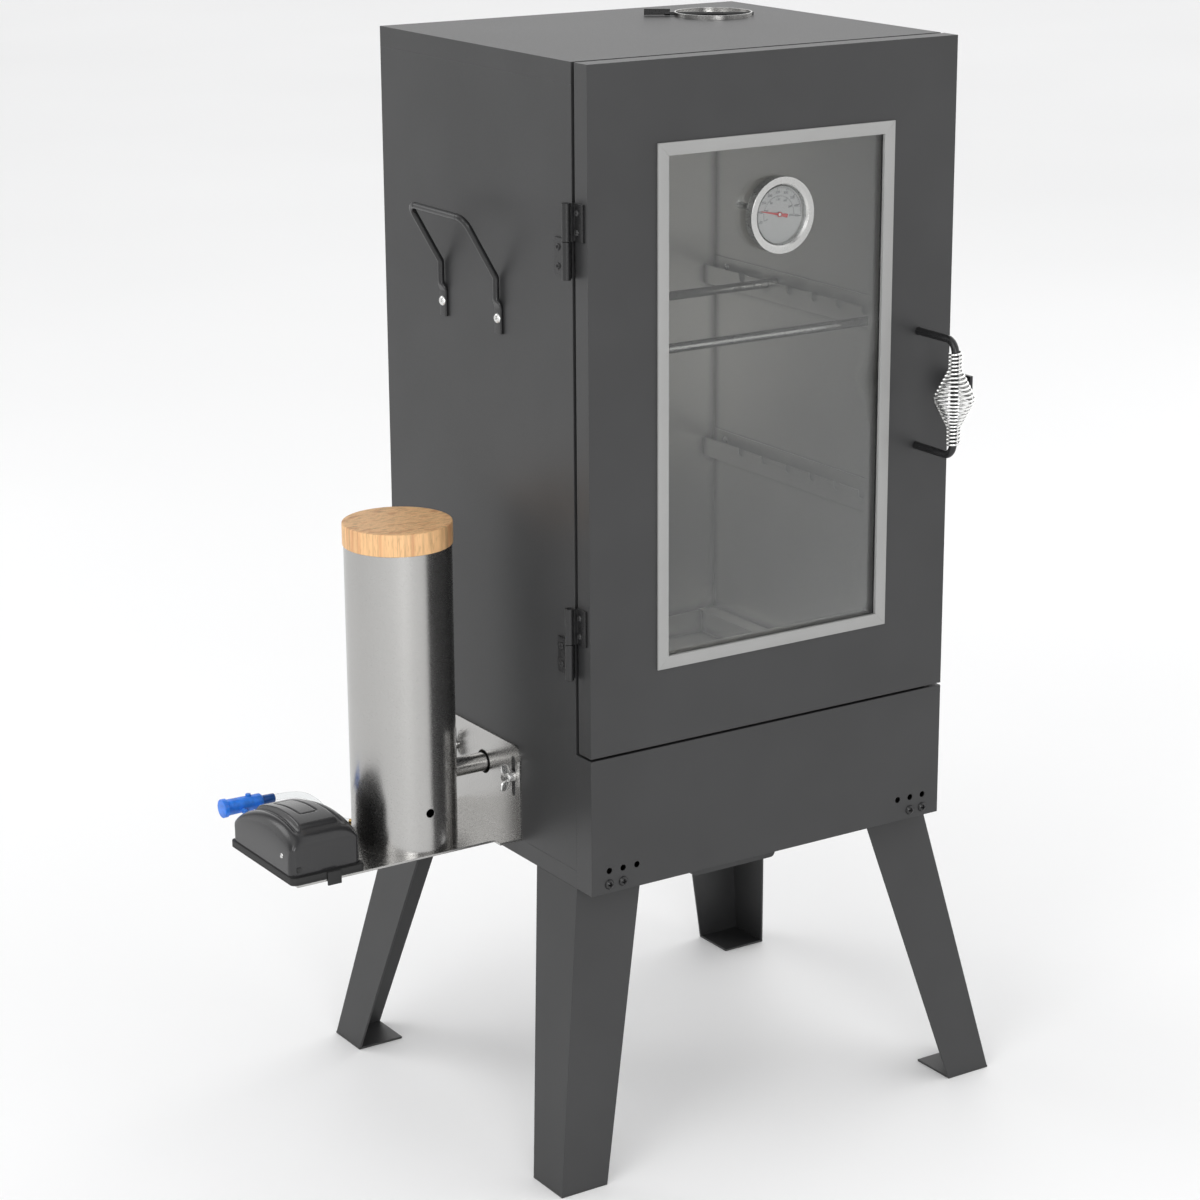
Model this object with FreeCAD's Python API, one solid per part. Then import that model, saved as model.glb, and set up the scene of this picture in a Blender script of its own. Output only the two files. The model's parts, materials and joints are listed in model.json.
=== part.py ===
# Electric cabinet smoker: a double-walled cabinet on four splayed legs, with a glazed door,
# a smoke generator and its air pump on a shelf bracket at the left.
# Millimetres. X runs left to right seen from the front, Y from the front to the back, Z up.
# The pieces are built about the cabinet: X = 0 in its middle, Y = 0 at the door's face and
# Z = 0 under its floor. They are written with the origin on the ground, in the middle of
# the footprint.
import FreeCAD, Part
import math
import os

V = FreeCAD.Vector
X_AXIS = V(1, 0, 0)
Y_AXIS = V(0, 1, 0)
Z_AXIS = V(0, 0, 1)

# Cabinet
cabinet_width = 400.0
body_depth = 332.0
cabinet_height = 750.5
sheet = 1.2
liner_sheet = 0.8
wall_depth = 20.0
insulation_depth = 8.0
cap_flange = 19.2
pan_flange = 17.5
pan_lip_drop = 2.0
plinth_height = 129.8
sill_height = 150.0
sill_return = 14.0
fit = 0.3
running_fit = 0.05
close_fit = 0.02

# Door
door_depth = 20.0
seal_gap = 5.0
seal_width = 14.0
seal_inset = 3.0
seal_clearance = 0.5
door_gap = 2.5
window_width = 237.8
window_bottom = 214.0
window_top_gap = 81.6
trim_width = 10.0
trim_depth = 2.0
trim_lip = 1.5
glass_depth = 4.0
glass_lap = 6.0

# Hinges
hinge_upper_drop = 152.2
hinge_lower_z = 236.3
hinge_half = 33.3
hinge_axis_out = 7.6
hinge_axis_y = 22.5
knuckle_radius = 4.0
hinge_pin_radius = 2.0
hinge_leaf_sheet = 2.0
hinge_leaf_depth = 15.0
hinge_body_leaf_depth = 26.0
hinge_screw_pitch = 16.8
hinge_screw_radius = 2.0
hinge_head_radius = 3.2
hinge_head_dome = 1.8
hinge_screw_inset = 4.0
hinge_screw_grip = 7.0
hinge_web_start = 2.6

# Door handle and latch
handle_inset = 37.6
handle_top_z = 481.5
handle_bottom_z = 372.8
handle_reach = 54.6
handle_rod_radius = 3.6
handle_bend = 12.0
handle_tail = 7.0
grip_length = 90.0
grip_end_radius = 7.4
grip_radius = 21.0
grip_wire = 2.1
grip_taper = 0.62
latch_z = 427.5
latch_pivot_y = 10.0
latch_sheet = 3.0
latch_gap = 1.3
latch_tab_reach = 30.0
latch_tab_height = 23.0
latch_hook_y = 41.0
latch_swing = 14.0
latch_pin_radius = 3.0
latch_notch_play = 0.8
latch_seat_rise = 1.0
latch_hook_half = 8.0
latch_hook_rise = 9.0
latch_hook_drop = 2.0
latch_bar_half = 6.0
latch_washer = 0.8
latch_root = 8.0
latch_head = 3.5
latch_washer_radius = 5.0

# Thermometer
thermometer_drop = 63.3
bezel_radius = 34.5
bezel_depth = 9.2
dial_radius = 26.0
bezel_chamfer = 1.5
case_floor = 2.0
dial_sheet = 0.6
dial_play = 0.1
spindle_radius = 0.8
spindle_length = 1.9
lens_sheet = 1.2
needle_lift = 1.5
needle_sheet = 0.6
needle_tip_gap = 6.0
needle_tail = 9.0
needle_hub_radius = 2.4
needle_hub_rise = 0.5
needle_rest = 12.0
stem_radius = 3.0
stem_length = 60.0

# Carry handles
carry_front_y = 147.0
carry_pitch = 98.0
carry_foot_z = 510.0
carry_rise_z = 547.0
carry_top_z = 603.0
carry_reach = 36.0
carry_rod_radius = 3.0
carry_bend = 11.0
carry_foot_width = 11.0
carry_foot_height = 28.0
carry_foot_sheet = 3.0
carry_foot_joint = 8.0

# Flue and damper
flue_inset = 91.0
flue_from_back = 99.0
flue_radius = 37.5
flue_wall = 1.5
flue_upstand = 3.8
flue_drop = 15.0
flue_flange = 9.0
damper_angle = 146.0
damper_shaft_radius = 1.5
damper_sheet = 1.2
damper_play = 0.6
lever_length = 25.0
lever_height = 6.0
lever_sheet = 2.0
lever_hub_radius = 1.7
lever_hub_length = 5.0
lever_gap = 4.0

# Rails, rods, tray and heater
rail_upper_drop = 253.5
rail_spacing = 180.0
rail_height = 27.0
rail_width = 14.0
rail_sheet = 1.0
rivet_front = 45.0
rivet_back = 24.0
rivet_drop = 9.0
ledge_rivet_drop = 12.0
rod_radius = 4.5
rod_front_y = 46.0
rod_pitch = 40.2
rod_notches = 7
rod_rear_notch = 5
rod_drop = 11.0
rod_end_gap = 1.5
tray_rim_z = 125.0
tray_depth = 24.0
tray_rim_width = 18.0
tray_side_gap = 2.5
tray_front_gap = 4.0
tray_back_gap = 8.0
ledge_width = 20.0
ledge_height = 18.0
heater_z = 60.0
heater_radius = 4.0
heater_half_width = 110.0
heater_front_y = 105.0
heater_length = 195.0
heater_terminal_x = 25.0
heater_tail = 12.0
prop_half_width = 6.0
prop_foot = 12.0
prop_sheet = 2.0
foot_sheet = 1.5
box_half_width = 48.5
box_height = 33.5
box_front_y = 60.0
box_depth = 90.0
box_corner = 5.0
gland_radius = 9.0
gland_bore = 3.6
gland_neck_radius = 6.0
gland_neck = 5.0
gland_nut = 6.0
gland_cap = 12.0
gland_cap_radius = 8.0
gland_tip_radius = 5.5

# Fasteners
hex_across = 10.0
hex_head = 4.0
nut_height = 5.0
handle_nut_across = 12.0
stem_nut_across = 14.0
screw_play = 0.1
plinth_head_radius = 4.8
plinth_head_dome = 3.0
plinth_bolt_length = 11.0
carry_head_dome = 2.6
panel_screw_radius = 2.0
panel_head_radius = 4.2
panel_head_dome = 2.2
rivet_radius = 1.6
rivet_head_radius = 3.6
rivet_head_dome = 1.6
through = 3.0

# Legs
leg_height = 276.0
leg_splay = 52.0
leg_top_width = 70.0
leg_foot_width = 49.5
leg_sheet = 2.0
leg_bolt_near = 0.25
leg_bolt_far = 0.72
bolt_radius = 3.0

# Plinth holes and bolts
hole_radius = 3.0
hole_inset = 19.0
hole_pitch = 15.0
hole_row_z = 21.5
plinth_bolt_z = 8.5
back_screw_inset = 25.0

# Smoke generator
bracket_sheet = 2.0
bracket_front_y = 121.0
bracket_width = 130.0
bracket_bottom_z = 16.5
bracket_height = 92.0
shelf_length = 228.0
shelf_front_y = 132.0
shelf_depth = 112.0
tube_out = 89.0
tube_radius = 49.6
tube_wall = 1.2
tube_top_z = 305.0
lid_radius = 50.6
lid_height = 21.0
spigot_depth = 10.0
pipe_z = 76.5
pipe_radius = 9.0
pipe_wall = 1.0
pipe_hole_radius = 11.5
ignition_z = 57.4
ignition_radius = 4.2
grate_z = 34.0
grate_hole_radius = 3.0
grate_ring_pitch = 11.0
nozzle_z = 27.0
nozzle_angle = 128.0
nozzle_length = 6.5
slot_width = 6.6
slot_length = 39.0
stud_radius = 3.0
stud_z = 78.0
stud_inset = 11.0
stud_reach = 12.0
bracket_corner = 10.0
shelf_root = 22.0
wing_boss_length = 7.0
plug_height = 3.0
plug_boss_radius = 8.0
plug_boss_height = 9.0
plug_play = 0.15
grate_sheet = 1.5
grate_play = 0.4
grate_foot_inset = 9.6
spigot_play = 0.5
lid_round = 1.5
nozzle_root = 10.0
nozzle_bore = 1.2
pipe_reach = 6.0
wing_span = 15.0

# Air pump
pump_out = 198.0
pump_width = 74.0
pump_front_y = 134.0
pump_length = 122.0
pump_base_height = 7.0
pump_height = 52.0
pump_wall = 2.0
pump_inset = 2.0
pump_shoulder = 14.0
pump_foot_lip = 0.5
pump_screw_y = 18.0
pump_screw_z = 16.0
pump_screw_radius = 1.0
clip_start = -2.0
clip_end = 12.0
clip_drop = 6.0
switch_start = -30.3
switch_width = 4.0
switch_travel = 4.6
switch_gap = 0.3
switch_rise = 3.7
switch_height = 4.6
outlet_bore = 1.0
outlet_drop = 3.0
manifold_y = 292.0
manifold_z = 42.0
manifold_radius = 8.0
manifold_length = 42.0
manifold_start = 28.0
manifold_flange = 1.0
manifold_flange_length = 5.0
manifold_wall = 2.0
manifold_end_wall = 3.0
manifold_nozzle = 13.0
manifold_bore = 1.5
vent_radius = 2.5
vent_rise = 2.0
barb_length = 7.0
stub_length = 9.0
outlet_pitch = 18.0
barb_radius = 2.0
hose_radius = 3.0
hose_bend_share = 0.45

# The air hose's middle line, from the manifold to the generator's air nozzle.
hose_route = [
    (-371.0, 292.0, 42.0),
    (-355.0, 292.0, 42.0),
    (-341.0, 281.0, 41.5),
    (-336.0, 262.0, 35.0),
    (-334.0, 243.6, 27.0),
    (-323.54, 230.21, 27.0),
]

# Places that follow from the sizes above
side = cabinet_width / 2
body_front = door_depth + seal_gap
body_back = body_front + body_depth
liner_x = side - wall_depth
liner_back = body_back - 2 * sheet - liner_sheet
door_bottom = plinth_height + door_gap
chamber_mid_y = (body_front + body_back) / 2
tube_x = -side - tube_out
tube_y = bracket_front_y + bracket_width / 2
pump_x = -side - pump_out
shelf_z = bracket_bottom_z + bracket_sheet
flue_x = side - flue_inset
flue_y = body_back - flue_from_back
damper_z = cabinet_height + flue_upstand / 2
damper_dir = V(math.cos(math.radians(damper_angle)), math.sin(math.radians(damper_angle)), 0)
thermo_face_y = sheet
hinge_x = -side - hinge_axis_out
window_side = window_width / 2
window_top = cabinet_height - window_top_gap
thermometer_z = window_top - thermometer_drop
handle_x = side - handle_inset
hinge_upper_z = cabinet_height - hinge_upper_drop
rail_upper_z = cabinet_height - rail_upper_drop
rail_lower_z = rail_upper_z - rail_spacing
hole_first_x = side - hole_inset

# The footprint's middle, and the lift from the ground to the cabinet's floor
reach_left = pump_x - pump_width / 2 - pump_foot_lip
reach_right = side + leg_splay
reach_front = -handle_reach - grip_radius
reach_back = body_back + leg_splay
stand = V(-(reach_left + reach_right) / 2, -(reach_front + reach_back) / 2, leg_height)


# Helpers

def box(x0, x1, y0, y1, z0, z1):
    return Part.makeBox(x1 - x0, y1 - y0, z1 - z0, V(x0, y0, z0))


def rod(start, direction, radius, length):
    return Part.makeCylinder(radius, length, start, direction)


def tube(start, direction, outer, inner, length):
    return rod(start, direction, outer, length).cut(rod(start, direction, inner, length))


def fuse(shapes):
    return shapes[0].multiFuse(shapes[1:]).removeSplitter() if len(shapes) > 1 else shapes[0]


def mirrored(shape):
    return shape.mirror(V(0, 0, 0), X_AXIS)


def prism(points, direction):
    """Extrude the closed outline through points along direction."""
    return Part.Face(Part.makePolygon(points + points[:1])).extrude(direction)


def path(points, radius_of):
    """Straight runs joined by tangent arcs; radius_of gives each corner's radius."""
    points = [V(*p) for p in points]
    edges = []
    start = points[0]
    for i in range(1, len(points) - 1):
        corner = points[i]
        back = (points[i - 1] - corner).normalize()
        ahead = (points[i + 1] - corner).normalize()
        turn = math.pi - back.getAngle(ahead)
        radius = radius_of(i, turn)
        setback = radius * math.tan(turn / 2)
        enter = corner + back * setback
        leave = corner + ahead * setback
        middle_dir = (back + ahead).normalize()
        middle = corner + middle_dir * (radius / math.cos(turn / 2) - radius)
        edges.append(Part.LineSegment(start, enter).toShape())
        edges.append(Part.Arc(enter, middle, leave).toShape())
        start = leave
    edges.append(Part.LineSegment(start, points[-1]).toShape())
    return Part.Wire(edges)


def bent_rod(points, rod_size, radius_of):
    """A round rod along the path through points."""
    spine = path(points, radius_of)
    first = V(*points[0])
    direction = (V(*points[1]) - first).normalize()
    ring = Part.Wire([Part.makeCircle(rod_size, first, direction)])
    return spine.makePipeShell([ring], True, False)


def hexagon(centre, direction, across, length):
    """A hexagonal nut or head, across measured over its flats."""
    head = Part.Face(Part.makePolygon([
        V(across / math.sqrt(3) * math.cos(math.radians(60 * k)),
          across / math.sqrt(3) * math.sin(math.radians(60 * k)), 0) for k in range(7)
    ])).extrude(V(0, 0, length))
    head.Placement = FreeCAD.Placement(centre, FreeCAD.Rotation(Z_AXIS, direction))
    return head


def domed(centre, direction, radius, height, shank, length):
    """A screw: a low dome outside, and its shank along direction."""
    ball = (radius ** 2 + height ** 2) / (2 * height)
    half_angle = math.asin(radius / ball) / 2
    middle = V(ball * math.sin(half_angle), 0, ball - height - ball * math.cos(half_angle))
    rim = V(radius, 0, 0)
    edges = [
        Part.Arc(V(0, 0, -height), middle, rim).toShape(),
        Part.LineSegment(rim, V(shank, 0, 0)).toShape(),
        Part.LineSegment(V(shank, 0, 0), V(shank, 0, length)).toShape(),
        Part.LineSegment(V(shank, 0, length), V(0, 0, length)).toShape(),
        Part.LineSegment(V(0, 0, length), V(0, 0, -height)).toShape(),
    ]
    screw = Part.Face(Part.Wire(edges)).revolve(V(0, 0, 0), Z_AXIS, 360)
    screw.Placement = FreeCAD.Placement(centre, FreeCAD.Rotation(Z_AXIS, direction))
    return screw


# Cabinet

def plinth_bolt_places():
    return [s * (hole_first_x - hole_pitch * k) for s in (-1, 1) for k in (0, 1)]


def leg_corners():
    """Each corner's sign in X and Y."""
    return [(-1, -1), (1, -1), (-1, 1), (1, 1)]


def leg_bolt_places():
    near = leg_top_width * leg_bolt_near
    far = leg_top_width * leg_bolt_far
    places = []
    for sx, sy in leg_corners():
        edge_y = body_front if sy < 0 else body_back
        for dx, dy in ((near, far), (far, near), (near, near)):
            places.append(V(sx * (side - dx), edge_y - sy * dy, 0))
    return places


def bottom_pan():
    floor = box(-side, side, body_front, body_back, 0, sheet)
    lip = box(-side + sheet, side - sheet, sheet, body_front, 0, sheet)
    front = box(-side + sheet, side - sheet, sheet, 2 * sheet, 0, pan_flange - pan_lip_drop)
    left = box(-side, -side + sheet, body_front, body_back, 0, pan_flange)
    back = box(-side, side, body_back - sheet, body_back, 0, pan_flange)
    pan = fuse([floor, lip, front, left, mirrored(left), back])
    holes = [rod(p, Z_AXIS, bolt_radius + fit, sheet) for p in leg_bolt_places()]
    holes += [rod(V(x, 0, plinth_bolt_z), Y_AXIS, bolt_radius, 3 * sheet) for x in plinth_bolt_places()]
    holes += [rod(V(s * heater_terminal_x, heater_front_y, 0), Z_AXIS, heater_radius + fit, sheet)
              for s in (-1, 1)]
    return pan.cut(fuse(holes))


def top_cap():
    outer = box(-side, side, body_front, body_back, cabinet_height - cap_flange, cabinet_height)
    inner = box(-side + sheet, side - sheet, body_front + sheet, body_back - sheet,
                cabinet_height - cap_flange, cabinet_height - sheet)
    return outer.cut(inner).cut(rod(V(flue_x, flue_y, 0), Z_AXIS, flue_radius + fit / 2, cabinet_height))


def wall_holes():
    """The smoke pipe's way through the left wall, and the bracket studs' and screws' holes."""
    across = wall_depth + 2
    holes = [rod(V(-side - 1, tube_y, pipe_z), X_AXIS, pipe_hole_radius, across)]
    for p in stud_places():
        holes.append(rod(V(-side - 1, p.y, p.z), X_AXIS, stud_radius, sheet + 1))
    for z in hinge_body_screws():
        holes.append(rod(V(-side - 1, hinge_screw_y(), z), X_AXIS, hinge_screw_radius, sheet + 1))
    return holes


def outer_panel_blank():
    """The left outer panel: a web with a return at the front and one at the back."""
    low = pan_flange
    high = cabinet_height - cap_flange
    web = box(-side, -side + sheet, body_front, body_back - sheet, low, high)
    front = box(-side, -liner_x, body_front, body_front + sheet, low, high)
    back = box(-side, -liner_x, body_back - 2 * sheet, body_back - sheet, low, high)
    panel = fuse([web, front, back])
    screws = [rod(V(-side - 1, y, carry_foot_z), X_AXIS, bolt_radius, sheet + 1)
              for y in (carry_front_y, carry_front_y + carry_pitch)]
    screws += [rod(V(-x, body_back - 3 * sheet, z), Y_AXIS, panel_screw_radius, 3 * sheet)
               for x, z in back_screw_places()[:3]]
    return panel.cut(fuse(screws))


def left_outer_panel():
    return outer_panel_blank().cut(fuse(wall_holes()))


def right_outer_panel():
    keeper = rod(V(side - 2 * sheet, *keeper_place()), X_AXIS, latch_pin_radius, 3 * sheet)
    return mirrored(outer_panel_blank()).cut(keeper)


def back_screw_places():
    """X and Z of the back panel's screws, the right-hand three first."""
    mid = side - wall_depth / 2
    low = pan_flange + back_screw_inset
    high = cabinet_height - cap_flange - back_screw_inset
    heights = [low, (low + high) / 2, high]
    return [(mid, z) for z in heights] + [(-mid, z) for z in heights]


def back_panel():
    low = pan_flange
    panel = box(-side, side, body_back - sheet, body_back, low, cabinet_height - cap_flange)
    holes = [rod(V(x, body_back - 2 * sheet, z), Y_AXIS, panel_screw_radius, 3 * sheet)
             for x, z in back_screw_places()]
    return panel.cut(fuse(holes))


def back_panel_screws():
    return Part.makeCompound([domed(V(x, body_back, z), V(0, -1, 0), panel_head_radius, panel_head_dome,
                                    panel_screw_radius, 2 * sheet) for x, z in back_screw_places()])


def side_liner():
    """The left liner, with the pipe's hole left out: the right one is its mirror image."""
    liner = box(-liner_x - liner_sheet, -liner_x, body_front + sheet, liner_back + liner_sheet,
                pan_flange, cabinet_height - cap_flange)
    rivets = [rod(V(-liner_x - liner_sheet, y, z), X_AXIS, rivet_radius, liner_sheet)
              for y, z in rail_rivet_places()]
    return liner.cut(fuse(rivets))


def back_liner():
    return box(-liner_x, liner_x, liner_back, liner_back + liner_sheet, sheet,
               cabinet_height - cap_flange)


def insulation():
    return box(-liner_x - liner_sheet - insulation_depth, -liner_x - liner_sheet,
               body_front + 2 * sheet, body_back - 3 * sheet, pan_flange, cabinet_height - cap_flange)


def front_sill():
    plate = box(-liner_x, liner_x, body_front, body_front + sheet, sheet, sill_height)
    ledge = box(-liner_x, liner_x, body_front, body_front + sheet + sill_return,
                sill_height - sheet, sill_height)
    return fuse([plate, ledge])


def plinth_panel():
    """The folded panel below the door, open at its back and underneath."""
    outer = box(-side, side, 0, body_front, 0, plinth_height)
    inner = box(-side + sheet, side - sheet, sheet, body_front, 0, plinth_height - sheet)
    panel = outer.cut(inner)
    row = [s * (hole_first_x - hole_pitch * k) for s in (-1, 1) for k in range(3)]
    holes = [rod(V(x, -1, hole_row_z), Y_AXIS, hole_radius, sheet + 2) for x in row]
    holes += [rod(V(x, -1, plinth_bolt_z), Y_AXIS, bolt_radius, sheet + 2) for x in plinth_bolt_places()]
    return panel.cut(fuse(holes))


def plinth_bolts():
    return Part.makeCompound([domed(V(x, 0, plinth_bolt_z), Y_AXIS, plinth_head_radius, plinth_head_dome,
                                    bolt_radius - screw_play, plinth_bolt_length)
                              for x in plinth_bolt_places()])


def plinth_nuts():
    nuts = []
    for x in plinth_bolt_places():
        place = V(x, 2 * sheet, plinth_bolt_z)
        bore = rod(place, Y_AXIS, bolt_radius - running_fit, hex_head)
        nuts.append(hexagon(place, Y_AXIS, hex_across, hex_head).cut(bore))
    return Part.makeCompound(nuts)


def door_seal():
    outer_x = side - seal_inset
    low = door_bottom + sheet
    high = cabinet_height - seal_inset
    outer = box(-outer_x, outer_x, door_depth + seal_clearance, body_front, low, high)
    inner = box(-outer_x + seal_width, outer_x - seal_width, door_depth, body_front,
                low + seal_width, high - seal_width)
    return outer.cut(inner)


def flue_collar():
    bottom = cabinet_height - sheet - flue_drop
    top = cabinet_height + flue_upstand
    base = V(flue_x, flue_y, bottom)
    wall = tube(base, Z_AXIS, flue_radius, flue_radius - flue_wall, top - bottom)
    flange = tube(V(flue_x, flue_y, cabinet_height - 2 * sheet), Z_AXIS, flue_radius + flue_flange,
                  flue_radius - flue_wall, sheet)
    centre = V(flue_x, flue_y, damper_z)
    bore = rod(centre - damper_dir * 2 * flue_radius, damper_dir, damper_shaft_radius + running_fit,
               4 * flue_radius)
    return fuse([wall, flange]).cut(bore)


def damper_disc():
    top = damper_z - damper_shaft_radius
    return rod(V(flue_x, flue_y, top - damper_sheet), Z_AXIS,
               flue_radius - flue_wall - damper_play, damper_sheet)


def damper_shaft():
    """The shaft across the flue, with an upright flag on its end to turn it by."""
    centre = V(flue_x, flue_y, damper_z)
    back = flue_radius + 1
    start = flue_radius + lever_gap
    shaft = rod(centre - damper_dir * back, damper_dir, damper_shaft_radius, back + start)
    low = damper_shaft_radius - 0.1
    half = lever_sheet / 2
    flag = box(start, start + lever_length, -half, half, -low, lever_height - low)
    hub = rod(V(start, 0, 0), X_AXIS, lever_hub_radius, lever_hub_length)
    lever = fuse([flag, hub])
    lever.Placement = FreeCAD.Placement(centre, FreeCAD.Rotation(Z_AXIS, damper_angle))
    return fuse([shaft, lever])


# Inside the chamber

def rod_places():
    """Y and Z of every place a rod can lie in the upper rails."""
    z = rail_upper_z - rod_drop
    return [(rod_front_y + rod_pitch * k, z) for k in range(rod_notches)]


def rail_rivet_places():
    """Y and Z of the rivets that hold each side's two rails and its tray ledge."""
    ends = (body_front + rivet_front, body_back - rivet_back)
    heights = (rail_upper_z - rivet_drop, rail_lower_z - rivet_drop, tray_rim_z - ledge_rivet_drop)
    return [(y, z) for z in heights for y in ends]


def rail(top):
    """The left rail whose wall leg ends at height top: an angle with a notched lip."""
    low = top - rail_height
    front = body_front + 3 * sheet
    back = liner_back - fit
    leg = box(-liner_x, -liner_x + rail_sheet, front, back, low, top)
    foot = box(-liner_x, -liner_x + rail_width, front, back, low, low + rail_sheet)
    lip = box(-liner_x + rail_width - rail_sheet, -liner_x + rail_width, front, back, low,
              top - rod_drop + rod_radius * 0.6)
    shape = fuse([leg, foot, lip])
    cuts = []
    for y, _ in rod_places():
        z = top - rod_drop
        notch = rod_radius + fit
        start = V(-liner_x + rail_sheet + 1, y, z)
        cuts.append(rod(start, X_AXIS, notch, rail_width))
        cuts.append(box(start.x, start.x + rail_width, y - notch, y + notch, z, top))
    for y, z in rail_rivet_places():
        cuts.append(rod(V(-liner_x - 1, y, z), X_AXIS, rivet_radius, through))
    return shape.cut(fuse(cuts))


def tray_ledge():
    top = tray_rim_z - rail_sheet
    front = body_front + 6 * sheet + sill_return
    back = liner_back - fit
    leg = box(-liner_x, -liner_x + rail_sheet, front, back, top - ledge_height, top)
    foot = box(-liner_x, -liner_x + ledge_width, front, back, top - rail_sheet, top)
    cuts = [rod(V(-liner_x - 1, y, z), X_AXIS, rivet_radius, through) for y, z in rail_rivet_places()]
    return fuse([leg, foot]).cut(fuse(cuts))


def pair(left):
    return Part.makeCompound([left, mirrored(left)])


def rail_rivets():
    rivets = []
    for y, z in rail_rivet_places():
        place = V(-liner_x + rail_sheet, y, z)
        rivet = domed(place, V(-1, 0, 0), rivet_head_radius, rivet_head_dome, rivet_radius - running_fit,
                      rail_sheet + liner_sheet)
        rivets += [rivet, mirrored(rivet)]
    return Part.makeCompound(rivets)


def hanging_rod(notch):
    y, z = rod_places()[notch]
    length = 2 * (liner_x - rail_sheet - rod_end_gap)
    return rod(V(-length / 2, y, z), X_AXIS, rod_radius, length)


def drip_tray():
    """A shallow pan hung by its rim on the two ledges."""
    rim_x = liner_x - tray_side_gap
    wall_x = rim_x - tray_rim_width
    front = body_front + sheet + sill_return + tray_front_gap
    back = liner_back - tray_back_gap
    low = tray_rim_z - tray_depth
    pan = box(-wall_x, wall_x, front, back, low, tray_rim_z)
    pan = pan.cut(box(-wall_x + sheet, wall_x - sheet, front + sheet, back - sheet, low + sheet, tray_rim_z))
    rim = box(-rim_x, -wall_x, front, back, tray_rim_z - rail_sheet, tray_rim_z)
    return fuse([pan, rim, mirrored(rim)])


def heater_route():
    back = heater_front_y + heater_length
    right = [
        (heater_terminal_x, heater_front_y, -heater_tail),
        (heater_terminal_x, heater_front_y, heater_z),
        (heater_half_width, heater_front_y, heater_z),
        (heater_half_width, back, heater_z),
    ]
    return right + [(-x, y, z) for x, y, z in reversed(right)]


def heating_element():
    return bent_rod(heater_route(), heater_radius, lambda i, turn: 4 * heater_radius)


def heater_supports():
    back = heater_front_y + heater_length / 2
    top = heater_z - heater_radius
    x0 = heater_half_width - prop_half_width
    x1 = heater_half_width + prop_half_width
    front = back - prop_sheet / 2
    post = box(x0, x1, front, front + prop_sheet, sheet, top)
    foot = box(x0, x1, front, back + prop_foot, sheet, sheet + foot_sheet)
    return pair(fuse([post, foot]))


def terminal_box():
    """A pressed box under the floor, its lower edges rounded."""
    radius = box_corner
    y1 = box_front_y + box_depth
    outer = box(-box_half_width, box_half_width, box_front_y, y1, -box_height, 0)
    outer = outer.makeFillet(radius, [e for e in outer.Edges if abs(e.Length - box_depth) < 1e-6
                                      and e.BoundBox.ZMax < -1])
    inner = box(-box_half_width + sheet, box_half_width - sheet, box_front_y + sheet, y1 - sheet,
                -box_height + sheet, 0)
    inner = inner.makeFillet(radius - sheet, [e for e in inner.Edges
                                              if abs(e.Length - box_depth + 2 * sheet) < 1e-6
                                              and e.BoundBox.ZMax < -1])
    inlet = rod(V(0, y1 - 2 * sheet, -box_height / 2), Y_AXIS, gland_neck_radius, 3 * sheet)
    return outer.cut(inner).cut(inlet)


def cable_gland():
    y1 = box_front_y + box_depth
    place = V(0, y1, -box_height / 2)
    inner_end = place - V(0, sheet + gland_neck, 0)
    nut = hexagon(place, Y_AXIS, 2 * gland_radius, gland_nut)
    neck = rod(inner_end, Y_AXIS, gland_neck_radius - fit, sheet + gland_neck)
    cap = Part.makeCone(gland_cap_radius, gland_tip_radius, gland_cap, place + V(0, gland_nut, 0), Y_AXIS)
    bore = rod(inner_end, Y_AXIS, gland_bore, sheet + gland_neck + gland_nut + gland_cap)
    return fuse([nut, neck, cap]).cut(bore)


# Legs

def leg():
    """The front left leg: two tapered flanges, a top plate and a foot plate."""
    top = V(-side, body_front, 0)
    foot = top + V(-leg_splay, -leg_splay, -leg_height)
    front = prism([top, top + V(leg_top_width, 0, 0), foot + V(leg_foot_width, 0, 0), foot],
                  V(0, leg_sheet, 0))
    flank = prism([top, top + V(0, leg_top_width, 0), foot + V(0, leg_foot_width, 0), foot],
                  V(leg_sheet, 0, 0))
    plate = box(top.x, top.x + leg_top_width, top.y, top.y + leg_top_width, -leg_sheet, 0)
    plate = plate.cut(prism([top + V(leg_top_width, leg_top_width, 1),
                             top + V(leg_top_width, leg_top_width * 0.5, 1),
                             top + V(leg_top_width * 0.5, leg_top_width, 1)], V(0, 0, -leg_sheet - 2)))
    pad = box(foot.x, foot.x + leg_foot_width, foot.y, foot.y + leg_foot_width, foot.z,
              foot.z + leg_sheet)
    holes = [rod(p - V(0, 0, 4 * leg_sheet), Z_AXIS, bolt_radius + fit, 5 * leg_sheet)
             for p in leg_bolt_places()]
    return fuse([front, flank, plate, pad]).cut(fuse(holes))


def place_leg(sx, sy):
    shape = leg()
    if sy > 0:
        shape = shape.mirror(V(0, chamber_mid_y, 0), Y_AXIS)
    if sx > 0:
        shape = mirrored(shape)
    return shape


def leg_bolts():
    bolts = []
    for p in leg_bolt_places():
        head = hexagon(p - V(0, 0, leg_sheet + hex_head), Z_AXIS, hex_across, hex_head)
        shank = rod(p - V(0, 0, leg_sheet), Z_AXIS, bolt_radius, leg_sheet + sheet + nut_height + 2)
        bolts.append(fuse([head, shank]))
    return Part.makeCompound(bolts)


def leg_nuts():
    nuts = []
    for p in leg_bolt_places():
        place = p + V(0, 0, sheet)
        bore = rod(place, Z_AXIS, bolt_radius + running_fit, nut_height)
        nuts.append(hexagon(place, Z_AXIS, hex_across, nut_height).cut(bore))
    return Part.makeCompound(nuts)


# Carry handles

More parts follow.
